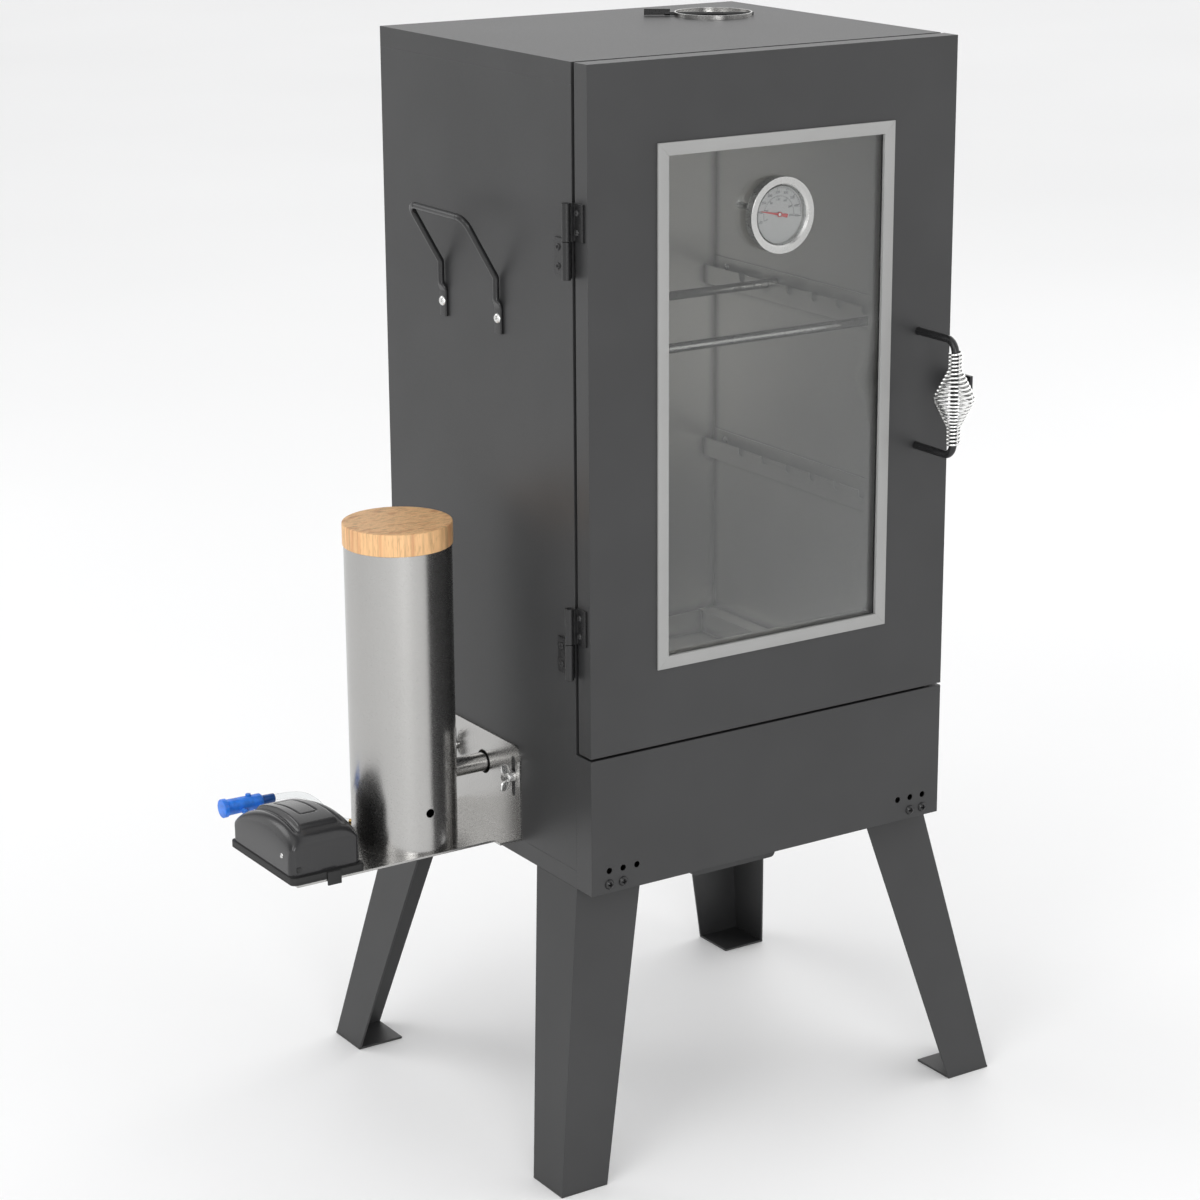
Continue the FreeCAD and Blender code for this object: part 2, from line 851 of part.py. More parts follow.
def carry_handle():
    """The left handle: a bent rod leaning out and up from two flattened feet."""
    x0 = -side - carry_rod_radius - 1
    x1 = -side - carry_reach
    y1 = carry_front_y + carry_pitch
    foot_joint_z = carry_foot_z + carry_foot_joint
    route = [
        (x0, carry_front_y, foot_joint_z),
        (x0, carry_front_y, carry_rise_z),
        (x1, carry_front_y, carry_top_z),
        (x1, y1, carry_top_z),
        (x0, y1, carry_rise_z),
        (x0, y1, foot_joint_z),
    ]
    pieces = [bent_rod(route, carry_rod_radius, lambda i, turn: carry_bend)]
    for y in (carry_front_y, y1):
        foot = box(-side - carry_foot_sheet, -side, y - carry_foot_width / 2, y + carry_foot_width / 2,
                   carry_foot_z - carry_foot_height / 2, carry_foot_z + carry_foot_height / 2)
        outside = V(-side - carry_foot_sheet, y, carry_foot_z)
        hole = rod(outside, X_AXIS, bolt_radius + fit, carry_foot_sheet)
        pieces.append(foot.cut(hole))
    return fuse(pieces)


def carry_handle_screws():
    screws = []
    for y in (carry_front_y, carry_front_y + carry_pitch):
        screw = domed(V(-side - carry_foot_sheet, y, carry_foot_z), X_AXIS, plinth_head_radius,
                      carry_head_dome,
                      bolt_radius - screw_play, carry_foot_sheet + sheet + nut_height)
        screws += [screw, mirrored(screw)]
    return Part.makeCompound(screws)


# Door

def door_skin():
    """The door's folded outer skin, open at its back, with the window cut out."""
    outer = box(-side, side, 0, door_depth, door_bottom, cabinet_height)
    inner = box(-side + sheet, side - sheet, sheet, door_depth, door_bottom + sheet, cabinet_height - sheet)
    window = box(-window_side, window_side, 0, door_depth, window_bottom, window_top)
    arms = [rod(V(handle_x, 0, z), Y_AXIS, handle_rod_radius, sheet)
            for z in (handle_bottom_z, handle_top_z)]
    latch = rod(V(side - 2 * sheet, latch_pivot_y, latch_z), X_AXIS, latch_pin_radius, 3 * sheet)
    hinges = [rod(V(-side - 1, hinge_door_screw_y(), z), X_AXIS, hinge_screw_radius, sheet + 2)
              for z in hinge_door_screws()]
    return outer.cut(inner).cut(fuse([window, latch] + arms + hinges))


def door_liner():
    """The door's inner plate and the jamb that holds the glass against the skin."""
    edge = side - sheet
    plate = box(-edge, edge, door_depth - sheet, door_depth, door_bottom + sheet, cabinet_height - sheet)
    jamb_outer = box(-window_side - sheet, window_side + sheet, sheet + glass_depth, door_depth,
                     window_bottom - sheet, window_top + sheet)
    window = box(-window_side, window_side, 0, door_depth, window_bottom, window_top)
    return fuse([plate, jamb_outer]).cut(window)


def window_glass():
    edge = window_side + glass_lap
    glass = box(-edge, edge, sheet, sheet + glass_depth, window_bottom - glass_lap, window_top + glass_lap)
    return glass.cut(rod(V(0, 0, thermometer_z), Y_AXIS, stem_radius + 1, door_depth))


def window_trim():
    outer_x = window_side + trim_width
    outer = box(-outer_x, outer_x, -trim_depth, 0, window_bottom - trim_width, window_top + trim_width)
    lip = box(-window_side, window_side, -trim_depth, sheet, window_bottom, window_top)
    hole = box(-window_side + trim_lip, window_side - trim_lip, -trim_depth, sheet,
               window_bottom + trim_lip, window_top - trim_lip)
    return fuse([outer, lip]).cut(hole)


def handle_rod():
    """A U-shaped rod with its two arms through the door's skin."""
    route = [
        (handle_x, sheet + handle_tail, handle_bottom_z),
        (handle_x, -handle_reach, handle_bottom_z),
        (handle_x, -handle_reach, handle_top_z),
        (handle_x, sheet + handle_tail, handle_top_z),
    ]
    return bent_rod(route, handle_rod_radius, lambda i, turn: handle_bend)


def handle_nuts():
    nuts = []
    for z in (handle_bottom_z, handle_top_z):
        place = V(handle_x, sheet, z)
        bore = rod(place, Y_AXIS, handle_rod_radius + close_fit, nut_height)
        nuts.append(hexagon(place, Y_AXIS, handle_nut_across, nut_height).cut(bore))
    return Part.makeCompound(nuts)


def grip_profile(offset):
    """Half of the coil's outline, a double cone with slim ends, moved in by offset."""
    mid = (handle_bottom_z + handle_top_z) / 2
    half = grip_length / 2
    return [
        (grip_end_radius - offset, mid - half),
        (grip_end_radius - offset, mid - half * grip_taper),
        (grip_radius - offset, mid),
        (grip_end_radius - offset, mid + half * grip_taper),
        (grip_end_radius - offset, mid + half),
    ]


def handle_grip():
    """The sleeve that the handle's coiled wire fills, open at both ends."""
    outside = [V(r, 0, z) for r, z in grip_profile(0)]
    inside = [V(r, 0, z) for r, z in grip_profile(grip_wire)]
    face = Part.Face(Part.makePolygon(outside + inside[::-1] + outside[:1]))
    sleeve = face.revolve(V(0, 0, 0), Z_AXIS, 360)
    sleeve.translate(V(handle_x, -handle_reach, 0))
    return sleeve


# Hinges: the door's half sits on the cabinet's half, and lifts off it

def hinge_screw_y():
    return hinge_axis_y + hinge_body_leaf_depth - hinge_screw_inset


def hinge_door_screw_y():
    return door_depth - hinge_leaf_sheet - hinge_head_radius - fit


def hinge_door_screws():
    return [z + dz for z in (hinge_lower_z, hinge_upper_z)
            for dz in (hinge_half / 2 - hinge_screw_pitch / 2, hinge_half / 2 + hinge_screw_pitch / 2)]


def hinge_body_screws():
    return [z - dz for z in (hinge_lower_z, hinge_upper_z)
            for dz in (hinge_half / 2 - hinge_screw_pitch / 2, hinge_half / 2 + hinge_screw_pitch / 2)]


def knuckle(low, high, bore):
    return tube(V(hinge_x, hinge_axis_y, low), Z_AXIS, knuckle_radius, bore, high - low)


def hinge_door_leaf(z):
    low = z + fit
    high = z + hinge_half
    leaf = box(-side - hinge_leaf_sheet, -side, door_depth - hinge_leaf_depth, door_depth, low, high)
    web = box(hinge_x + hinge_web_start, -side - hinge_leaf_sheet, door_depth - hinge_leaf_sheet,
              door_depth, low, high)
    body = fuse([leaf, web, knuckle(low, high, hinge_pin_radius + running_fit)])
    cuts = [rod(V(-side - 5, hinge_door_screw_y(), s), X_AXIS, hinge_screw_radius, 6)
            for s in hinge_door_screws()]
    cuts.append(rod(V(hinge_x, hinge_axis_y, low), Z_AXIS, hinge_pin_radius + running_fit, high - low))
    return body.cut(fuse(cuts))


def hinge_body_leaf(z):
    low = z - hinge_half
    high = z - fit
    back = hinge_axis_y + hinge_body_leaf_depth + 3
    leaf = box(-side - hinge_leaf_sheet, -side, body_front, back, low, high)
    web = box(hinge_x + hinge_web_start, -side, body_front, body_front + hinge_leaf_sheet, low, high)
    body = fuse([leaf, web, knuckle(low, high, hinge_pin_radius + close_fit)])
    cuts = [rod(V(-side - 5, hinge_screw_y(), s), X_AXIS, hinge_screw_radius, 6)
            for s in hinge_body_screws()]
    cuts.append(rod(V(hinge_x, hinge_axis_y, low), Z_AXIS, hinge_pin_radius + close_fit, high - low))
    return body.cut(fuse(cuts))


def hinge_pins():
    return Part.makeCompound([rod(V(hinge_x, hinge_axis_y, z - hinge_half + 1), Z_AXIS,
                                  hinge_pin_radius, 2 * hinge_half - 3)
                              for z in (hinge_lower_z, hinge_upper_z)])


def hinge_screws(y, heights):
    return Part.makeCompound([domed(V(-side - hinge_leaf_sheet, y, z), X_AXIS, hinge_head_radius,
                                    hinge_head_dome, hinge_screw_radius - screw_play,
                                    hinge_leaf_sheet + hinge_screw_grip) for z in heights])


# Latch

def keeper_place():
    """Y and Z of the stud that the hook drops over when the lever is pressed home."""
    arm = latch_hook_y - latch_pivot_y
    swing = math.radians(latch_swing)
    rise = latch_seat_rise
    return (latch_pivot_y + arm * math.cos(swing) + rise * math.sin(swing),
            latch_z + rise * math.cos(swing) - arm * math.sin(swing))


def latch_lever():
    """A flat lever on the door's edge: a thumb tab in front and a hook behind."""
    x0 = side + latch_gap
    top = latch_z + latch_tab_height / 2
    low = latch_z - latch_bar_half
    tab = box(x0, x0 + latch_sheet, -latch_tab_reach, -2, top - latch_tab_height, top)
    bar = box(x0, x0 + latch_sheet, -4, latch_hook_y - latch_bar_half, low, latch_z + latch_bar_half + 1)
    hook = box(x0, x0 + latch_sheet, latch_hook_y - latch_hook_half, latch_hook_y + latch_hook_half,
               latch_z - latch_hook_drop, latch_z + latch_hook_rise)
    half = latch_pin_radius + latch_notch_play
    notch = box(x0, x0 + latch_sheet, latch_hook_y - half, latch_hook_y + half, low,
                latch_z + latch_seat_rise + half)
    bore = rod(V(x0, latch_pivot_y, latch_z), X_AXIS, latch_pin_radius + running_fit, latch_sheet)
    return fuse([tab, bar, hook]).cut(fuse([notch, bore]))


def latch_pivot():
    x0 = side + latch_gap
    shank = rod(V(side - latch_root, latch_pivot_y, latch_z), X_AXIS, latch_pin_radius,
                latch_root + latch_gap + latch_sheet + 1)
    collar = rod(V(side, latch_pivot_y, latch_z), X_AXIS, 6, latch_gap - 0.2)
    head = hexagon(V(x0 + latch_sheet + 0.2, latch_pivot_y, latch_z), X_AXIS, hex_across, latch_head)
    return fuse([shank, collar, head])


def latch_keeper():
    """A plain stud and the washer at its root."""
    y, z = keeper_place()
    length = latch_root + latch_gap + latch_sheet + 1
    stud = rod(V(side - latch_root, y, z), X_AXIS, latch_pin_radius, length)
    washer = tube(V(side, y, z), X_AXIS, latch_washer_radius, latch_pin_radius, latch_washer)
    return Part.makeCompound([stud, washer])


# Thermometer, on the window

def thermometer_case():
    """A cup with a chamfered bezel, and the probe that passes through the glass."""
    front = thermo_face_y - bezel_depth
    case = rod(V(0, front, thermometer_z), Y_AXIS, bezel_radius, bezel_depth)
    case = case.makeChamfer(bezel_chamfer, [e for e in case.Edges if abs(e.BoundBox.YMax - front) < 1e-6
                                  and e.BoundBox.ZLength > 1])
    case = case.cut(rod(V(0, front, thermometer_z), Y_AXIS, dial_radius,
                        bezel_depth - case_floor))
    stem = rod(V(0, thermo_face_y - 1, thermometer_z), Y_AXIS, stem_radius, stem_length + 1)
    return fuse([case, stem])


def dial_front_y():
    return thermo_face_y - case_floor - dial_sheet


def thermometer_dial():
    """The scale's disc, and the spindle the needle turns on."""
    y = dial_front_y()
    dial = rod(V(0, y, thermometer_z), Y_AXIS, dial_radius - dial_play, dial_sheet)
    spindle = rod(V(0, y - spindle_length, thermometer_z), Y_AXIS, spindle_radius, spindle_length)
    return fuse([dial, spindle])


def thermometer_lens():
    front = thermo_face_y - bezel_depth + bezel_chamfer
    return rod(V(0, front, thermometer_z), Y_AXIS, dial_radius - dial_play, lens_sheet)


def thermometer_needle():
    """A tapered pointer with a short tail, at rest against the low end of the scale."""
    y = dial_front_y() - needle_lift
    tip = dial_radius - needle_tip_gap
    points = [V(-tip, y, -0.3), V(-tip, y, 0.3), V(0, y, 1.1)]
    points += [V(needle_tail, y, 1.8), V(needle_tail, y, -1.8), V(0, y, -1.1)]
    pointer = prism(points, V(0, needle_sheet, 0))
    hub = rod(V(0, y - needle_hub_rise, 0), Y_AXIS, needle_hub_radius, needle_sheet + needle_hub_rise)
    needle = fuse([pointer, hub]).cut(rod(V(0, y - 1, 0), Y_AXIS, spindle_radius + running_fit, through))
    needle.rotate(V(0, 0, 0), Y_AXIS, needle_rest)
    needle.translate(V(0, 0, thermometer_z))
    return needle


def thermometer_nut():
    place = V(0, sheet + glass_depth, thermometer_z)
    bore = rod(place, Y_AXIS, stem_radius + running_fit, hex_head)
    return hexagon(place, Y_AXIS, stem_nut_across, hex_head).cut(bore)


# Smoke generator

def stud_places():
    front = bracket_front_y + stud_inset
    return [V(-side, y, stud_z) for y in (front, 2 * tube_y - front)]


def generator_bracket():
    """An angle: its plate lies on the cabinet's side and its shelf carries generator and pump."""
    back = bracket_front_y + bracket_width
    outer = -side - bracket_sheet
    plate = box(outer, -side, bracket_front_y, back, bracket_bottom_z, bracket_bottom_z + bracket_height)
    upper = [e for e in plate.Edges if abs(e.Length - bracket_sheet) < 1e-6
             and e.BoundBox.ZMin > bracket_bottom_z + 1]
    plate = plate.makeFillet(bracket_corner, upper)
    shelf = box(outer - shelf_length, outer, shelf_front_y, shelf_front_y + shelf_depth,
                bracket_bottom_z, shelf_z)
    root = box(outer - shelf_root, outer, bracket_front_y, back, bracket_bottom_z, shelf_z)
    cuts = [rod(V(outer - 1, tube_y, pipe_z), X_AXIS, pipe_hole_radius, bracket_sheet + 2)]
    for p in stud_places():
        half = slot_length / 2 - slot_width / 2
        cuts.append(box(outer - 1, -side + 1, p.y - slot_width / 2, p.y + slot_width / 2,
                        p.z - half, p.z + half))
        cuts += [rod(V(outer - 1, p.y, p.z + s * half), X_AXIS, slot_width / 2, bracket_sheet + 2)
                 for s in (-1, 1)]
    cuts.append(rod(V(tube_x, tube_y, 0), Z_AXIS, bolt_radius + fit, 3 * shelf_z))
    return fuse([plate, shelf, root]).cut(fuse(cuts))


def bracket_studs():
    root = -side + sheet + through
    length = sheet + through + bracket_sheet + stud_reach
    return Part.makeCompound([rod(V(root, p.y, p.z), V(-1, 0, 0), stud_radius - running_fit, length)
                              for p in stud_places()])


def wing_nut(k):
    """A wing nut on the k-th stud: a boss with two rounded ears."""
    p = stud_places()[k] - V(bracket_sheet, 0, 0)
    boss = Part.makeCone(5.6, 4.4, wing_boss_length, p, V(-1, 0, 0))
    ears = []
    for s in (-1, 1):
        ear = Part.makeCylinder(5, 2, V(p.x - 9, p.y - 1, p.z + s * (wing_span - 5.5)), Y_AXIS)
        arm = prism([V(p.x - 1, p.y - 1, p.z + s * 3), V(p.x - 5, p.y - 1, p.z + s * 3),
                     V(p.x - 12, p.y - 1, p.z + s * (wing_span - 8)),
                     V(p.x - 5.5, p.y - 1, p.z + s * (wing_span - 4))], V(0, 2, 0))
        ears += [ear, arm]
    bore = rod(p + V(1, 0, 0), V(-1, 0, 0), stud_radius, 9)
    return fuse([boss] + ears).cut(bore)


def generator_tube():
    height = tube_top_z - shelf_z
    base = V(tube_x, tube_y, shelf_z)
    body = tube(base, Z_AXIS, tube_radius, tube_radius - tube_wall, height)
    cuts = [
        rod(V(tube_x, tube_y, ignition_z), V(0, -1, 0), ignition_radius, 2 * tube_radius),
        rod(V(tube_x, tube_y, pipe_z), X_AXIS, pipe_radius, 2 * tube_radius),
        rod(V(tube_x, tube_y, nozzle_z), nozzle_dir(), hose_radius, 2 * tube_radius),
    ]
    return body.cut(fuse(cuts))


def generator_base():
    """The plug that closes the tube's foot and takes the bolt from under the shelf."""
    inner = tube_radius - tube_wall - plug_play
    plug = rod(V(tube_x, tube_y, shelf_z), Z_AXIS, inner, plug_height)
    boss = rod(V(tube_x, tube_y, shelf_z), Z_AXIS, plug_boss_radius, plug_boss_height)
    return fuse([plug, boss]).cut(rod(V(tube_x, tube_y, 0), Z_AXIS, bolt_radius, 3 * shelf_z))


def generator_bolt():
    head = hexagon(V(tube_x, tube_y, bracket_bottom_z - hex_head), Z_AXIS, hex_across, hex_head)
    shank = rod(V(tube_x, tube_y, bracket_bottom_z), Z_AXIS, bolt_radius - running_fit,
                bracket_sheet + plug_boss_height - 1)
    return fuse([head, shank])


def chip_grate():
    """A perforated plate on a ring of feet, which holds the chips above the ash."""
    inner = tube_radius - tube_wall - grate_play
    plate = rod(V(tube_x, tube_y, grate_z), Z_AXIS, inner, grate_sheet)
    holes = []
    for step in range(4):
        ring = step * grate_ring_pitch
        count = max(1, 6 * step)
        for k in range(count):
            angle = 2 * math.pi * k / count
            holes.append(rod(V(tube_x + ring * math.cos(angle), tube_y + ring * math.sin(angle), grate_z),
                             Z_AXIS, grate_hole_radius, grate_sheet))
    feet = []
    foot_ring = tube_radius - grate_foot_inset
    for k in range(3):
        angle = 2 * math.pi * (k + 0.5) / 3
        foot = V(tube_x + foot_ring * math.cos(angle), tube_y + foot_ring * math.sin(angle),
                 shelf_z + plug_height)
        feet.append(rod(foot, Z_AXIS, grate_hole_radius / 2, grate_z - foot.z))
    return fuse([plate.cut(fuse(holes))] + feet)


def smoke_pipe():
    """The short pipe from the generator through both walls into the chamber."""
    start = tube_x + tube_radius - tube_wall - pipe_reach
    length = -liner_x + pipe_reach - start
    return tube(V(start, tube_y, pipe_z), X_AXIS, pipe_radius, pipe_radius - pipe_wall, length)


def nozzle_dir():
    angle = math.radians(nozzle_angle)
    return V(math.cos(angle), math.sin(angle), 0)


def air_nozzle():
    centre = V(tube_x, tube_y, nozzle_z)
    out = nozzle_dir()
    start = tube_radius - tube_wall - nozzle_root
    barrel = rod(centre + out * start, out, hose_radius, tube_wall + nozzle_root)
    tip = rod(centre + out * tube_radius, out, hose_radius, nozzle_length)
    bore = rod(centre + out * start, out, nozzle_bore, tube_wall + nozzle_root + nozzle_length)
    return fuse([barrel, tip]).cut(bore)


def wood_lid():
    lid = rod(V(tube_x, tube_y, tube_top_z), Z_AXIS, lid_radius, lid_height)
    lid = lid.makeFillet(lid_round, [e for e in lid.Edges if e.BoundBox.ZMin > tube_top_z + 1])
    spigot = rod(V(tube_x, tube_y, tube_top_z - spigot_depth), Z_AXIS,
                 tube_radius - tube_wall - spigot_play, spigot_depth)
    return fuse([lid, spigot])


# Air pump

def pump_base():
    """A rubber slab with a clip that hooks under the shelf's front edge."""
    half = pump_width / 2 + pump_foot_lip
    y1 = pump_front_y + pump_length
    pad = box(pump_x - half, pump_x + half, pump_front_y, y1, shelf_z, shelf_z + pump_base_height)
    x0 = pump_x + clip_start
    x1 = pump_x + clip_end
    clip = box(x0, x1, shelf_front_y - pump_inset, pump_front_y, shelf_z - clip_drop,
               shelf_z + pump_base_height)
    clip = clip.cut(box(x0, x1, shelf_front_y, pump_front_y, shelf_z - clip_drop, shelf_z))
    return fuse([pad, clip])


def pump_low():
    return shelf_z + pump_base_height


def pump_ends():
    """The housing's front and back."""
    return pump_front_y + pump_inset, pump_front_y + pump_length - pump_inset


def pump_form(inset):
    """The side outline carried across, cut to a round-shouldered front outline."""
    low = pump_low()
    front, back = pump_ends()
    y0 = front + inset
    length = back - inset - y0
    x0 = pump_x - pump_width / 2 + 1 + inset
    crown = shelf_z + pump_height - inset
    side_points = [(0, 0), (0, -0.21), (0.12, -0.08), (0.4, 0), (0.75, -0.18), (1, -0.55), (1, 0)]
    outline = [V(x0, y0 + a * length, crown + b * (crown - low)) for a, b in side_points]
    outline[0].z = low
    outline[-1].z = low
    flank = prism(outline, V(2 * (pump_x - x0), 0, 0))
    drop = 1.6 * pump_shoulder
    arch = [V(x0, y0, low), V(x0, y0, crown - drop)]
    for angle in (30, 60, 90):
        turn = math.radians(angle)
        arch.append(V(x0 + pump_shoulder * (1 - math.cos(turn)), y0, crown - drop * (1 - math.sin(turn))))
    arch += [V(2 * pump_x - p.x, p.y, p.z) for p in reversed(arch)]
    return flank.common(prism(arch, V(0, length, 0)))


def pump_housing():
    """A moulded shell, open underneath, with the switch's slot and two outlet barbs."""
    front, back = pump_ends()
    shell = pump_form(0).cut(pump_form(pump_wall))
    x0 = pump_x + switch_start
    z0 = pump_low() + switch_rise
    slot = box(x0 - switch_gap, x0 + switch_width + switch_travel + switch_gap, front - 1,
               front + 2 * pump_wall, z0 - switch_gap, z0 + switch_height + switch_gap)
    screw = rod(V(pump_x - pump_width / 2, front + pump_screw_y, pump_low() + pump_screw_z), X_AXIS,
                pump_screw_radius, 5)
    barbs = [rod(V(x, back - pump_wall, outlet_z()), Y_AXIS, barb_radius, pump_wall + barb_length)
             for x in outlet_xs()]
    bores = [rod(V(x, back - 2 * pump_wall, outlet_z()), Y_AXIS, outlet_bore, 3 * pump_wall + barb_length)
             for x in outlet_xs()]
    return fuse([shell.cut(fuse([slot, screw]))] + barbs).cut(fuse(bores))


def outlet_z():
    return manifold_z - outlet_drop


def outlet_xs():
    return [pump_x - outlet_pitch / 2, pump_x + outlet_pitch / 2]


def pump_switch():
    front, back = pump_ends()
    x0 = pump_x + switch_start
    z0 = pump_low() + switch_rise
    return box(x0, x0 + switch_width, front - 0.8, front + 3.5, z0, z0 + switch_height)


def pump_screw():
    front, back = pump_ends()
    place = V(pump_x - pump_width / 2 + 1, front + pump_screw_y, pump_low() + pump_screw_z)
    return domed(place, X_AXIS, 2.6, 1.2, pump_screw_radius - running_fit, 4)


def link_hoses():
    back = pump_ends()[1]
    length = manifold_y - manifold_radius - back
    return Part.makeCompound([tube(V(x, back, outlet_z()), Y_AXIS, hose_radius, barb_radius + 0.05, length)
                              for x in outlet_xs()])


def air_manifold():
    """The cross pipe that joins the pump's two outlets into one nozzle."""
    left = V(pump_x - manifold_start, manifold_y, manifold_z)
    body = rod(left, X_AXIS, manifold_radius, manifold_length)
    cap = rod(left, X_AXIS, manifold_radius + manifold_flange, manifold_flange_length)
    right = left + V(manifold_length, 0, 0)
    nozzle = rod(right, X_AXIS, hose_radius, manifold_nozzle)
    vent = rod(V(outlet_xs()[0], manifold_y, manifold_z), Z_AXIS, vent_radius, manifold_radius + vent_rise)
    reach = manifold_radius + stub_length
    stubs = [rod(V(x, manifold_y, outlet_z()), V(0, -1, 0), barb_radius, reach) for x in outlet_xs()]
    hollow = rod(left + V(manifold_end_wall, 0, 0), X_AXIS, manifold_radius - manifold_wall,
                 manifold_length - 2 * manifold_end_wall)
    bores = [rod(V(x, manifold_y, outlet_z()), V(0, -1, 0), outlet_bore, reach) for x in outlet_xs()]
    bores.append(rod(right - V(2 * manifold_end_wall, 0, 0), X_AXIS, manifold_bore,
                     2 * manifold_end_wall + manifold_nozzle))
    return fuse([body, cap, nozzle, vent] + stubs).cut(fuse([hollow] + bores))


def hose_bend(i, turn):
    """Each corner's arc takes a named share of the shorter run beside it."""
    ends = [V(*p) for p in hose_route[i - 1:i + 2]]
    shorter = min((ends[1] - ends[0]).Length, (ends[2] - ends[1]).Length)
    return hose_bend_share * shorter / math.tan(turn / 2)


def air_hose():
    hose = bent_rod(hose_route, hose_radius, hose_bend)
    length = path(hose_route, hose_bend).Length
    print("air hose length", round(length, 1), "volume over section x length",
          round(hose.Volume / (math.pi * hose_radius ** 2 * length), 4))
    return hose


# Groups of like fasteners

def bolts():
    return Part.makeCompound([leg_bolts(), generator_bolt(), bracket_studs()])


def nuts():
    return Part.makeCompound([plinth_nuts(), leg_nuts()])


def screws():
    return Part.makeCompound([plinth_bolts(), back_panel_screws(), carry_handle_screws(), rail_rivets(),
                              hinge_screws(hinge_screw_y(), hinge_body_screws()), pump_screw()])


def door_fixings():
    return Part.makeCompound([handle_nuts(), thermometer_nut(),
                              hinge_screws(hinge_door_screw_y(), hinge_door_screws())])


def cabinet_pieces():
    pipe_way = wall_holes()[0]
    return {
        "bottom_pan": bottom_pan(),
        "top_cap": top_cap(),
        "left_outer_panel": left_outer_panel(),
        "right_outer_panel": right_outer_panel(),
        "back_panel": back_panel(),
        "side_liners": Part.makeCompound([side_liner().cut(pipe_way), mirrored(side_liner())]),
        "back_liner": back_liner(),
        "wall_insulation": Part.makeCompound([insulation().cut(pipe_way), mirrored(insulation())]),
        "front_sill": front_sill(),
        "plinth_panel": plinth_panel(),
        "door_seal": door_seal(),
        "flue_collar": flue_collar(),
        "damper_disc": damper_disc(),
        "damper_shaft": damper_shaft(),
        "front_legs": Part.makeCompound([place_leg(-1, -1), place_leg(1, -1)]),
        "rear_legs": Part.makeCompound([place_leg(-1, 1), place_leg(1, 1)]),
        "carry_handles": pair(carry_handle()),
        "bolts": bolts(),
        "nuts": nuts(),
        "screws": screws(),
    }


def chamber_pieces():
    return {
        "hanging_rails": Part.makeCompound([pair(rail(rail_upper_z)), pair(rail(rail_lower_z))]),
        "tray_ledges": pair(tray_ledge()),
        "front_hanging_rod": hanging_rod(0),
        "rear_hanging_rod": hanging_rod(rod_rear_notch),
        "drip_tray": drip_tray(),
        "heating_element": heating_element(),
        "heater_supports": heater_supports(),
        "terminal_box": terminal_box(),
        "cable_gland": cable_gland(),
    }


def door_pieces():
    leaves = [hinge_lower_z, hinge_upper_z]
    return {
        "door_skin": door_skin(),
        "door_liner": door_liner(),
        "window_glass": window_glass(),
        "window_trim": window_trim(),
        "handle_rod": handle_rod(),
        "handle_grip": handle_grip(),
        "door_fixings": door_fixings(),
        "hinge_door_leaves": Part.makeCompound([hinge_door_leaf(z) for z in leaves]),
        "hinge_body_leaves": Part.makeCompound([hinge_body_leaf(z) for z in leaves] + [hinge_pins()]),
        "latch_lever": latch_lever(),
        "latch_pivot": latch_pivot(),
        "latch_keeper": latch_keeper(),
        "thermometer_case": thermometer_case(),
        "thermometer_dial": thermometer_dial(),
        "thermometer_lens": thermometer_lens(),
        "thermometer_needle": thermometer_needle(),
    }


def smoke_pieces():
    return {
        "generator_bracket": generator_bracket(),
        "wing_nut_front": wing_nut(0),
        "wing_nut_rear": wing_nut(1),
        "generator_tube": generator_tube(),
        "generator_base": generator_base(),
        "chip_grate": chip_grate(),
        "smoke_pipe": smoke_pipe(),
        "air_nozzle": air_nozzle(),
        "wood_lid": wood_lid(),
        "pump_base": pump_base(),
        "pump_housing": pump_housing(),
        "pump_switch": pump_switch(),
        "air_manifold": air_manifold(),
        "link_hoses": link_hoses(),
        "air_hose": air_hose(),
    }


def main():
    os.makedirs("parts", exist_ok=True)
    pieces = {}
    for group in (cabinet_pieces, chamber_pieces, door_pieces, smoke_pieces):
        pieces.update(group())
    for name, shape in pieces.items():
        placed = shape.copy()
        placed.translate(stand)
        placed.exportStep("parts/" + name + ".step")
    print("pieces", len(pieces), "stand", [round(v, 3) for v in stand])


main()
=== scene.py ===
"""Looks of an electric cabinet smoker, built around its fixed CAD frame.

Lengths are in metres, in the frame's own axes: +Z up, +Y from the door to the back.
"""

import json
import math

import bmesh
import bpy
import numpy as np
from mathutils import Matrix, Vector


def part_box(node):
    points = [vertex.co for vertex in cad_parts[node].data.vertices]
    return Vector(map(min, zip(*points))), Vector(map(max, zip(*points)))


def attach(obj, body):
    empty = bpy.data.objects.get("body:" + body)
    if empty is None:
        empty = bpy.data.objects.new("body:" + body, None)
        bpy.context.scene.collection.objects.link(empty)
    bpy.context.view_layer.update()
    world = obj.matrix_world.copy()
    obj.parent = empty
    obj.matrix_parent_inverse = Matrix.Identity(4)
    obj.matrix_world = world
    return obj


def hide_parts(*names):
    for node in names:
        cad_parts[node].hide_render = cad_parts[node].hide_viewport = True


bl_info = {
    "name": "Cabinet smoker looks",
    "version": (1, 0, 0),
    "blender": (4, 5, 0),
    "location": "View3D > Sidebar > Smoker",
    "description": "Builds the visible pieces and finishes of a cabinet smoker",
    "category": "Object",
}

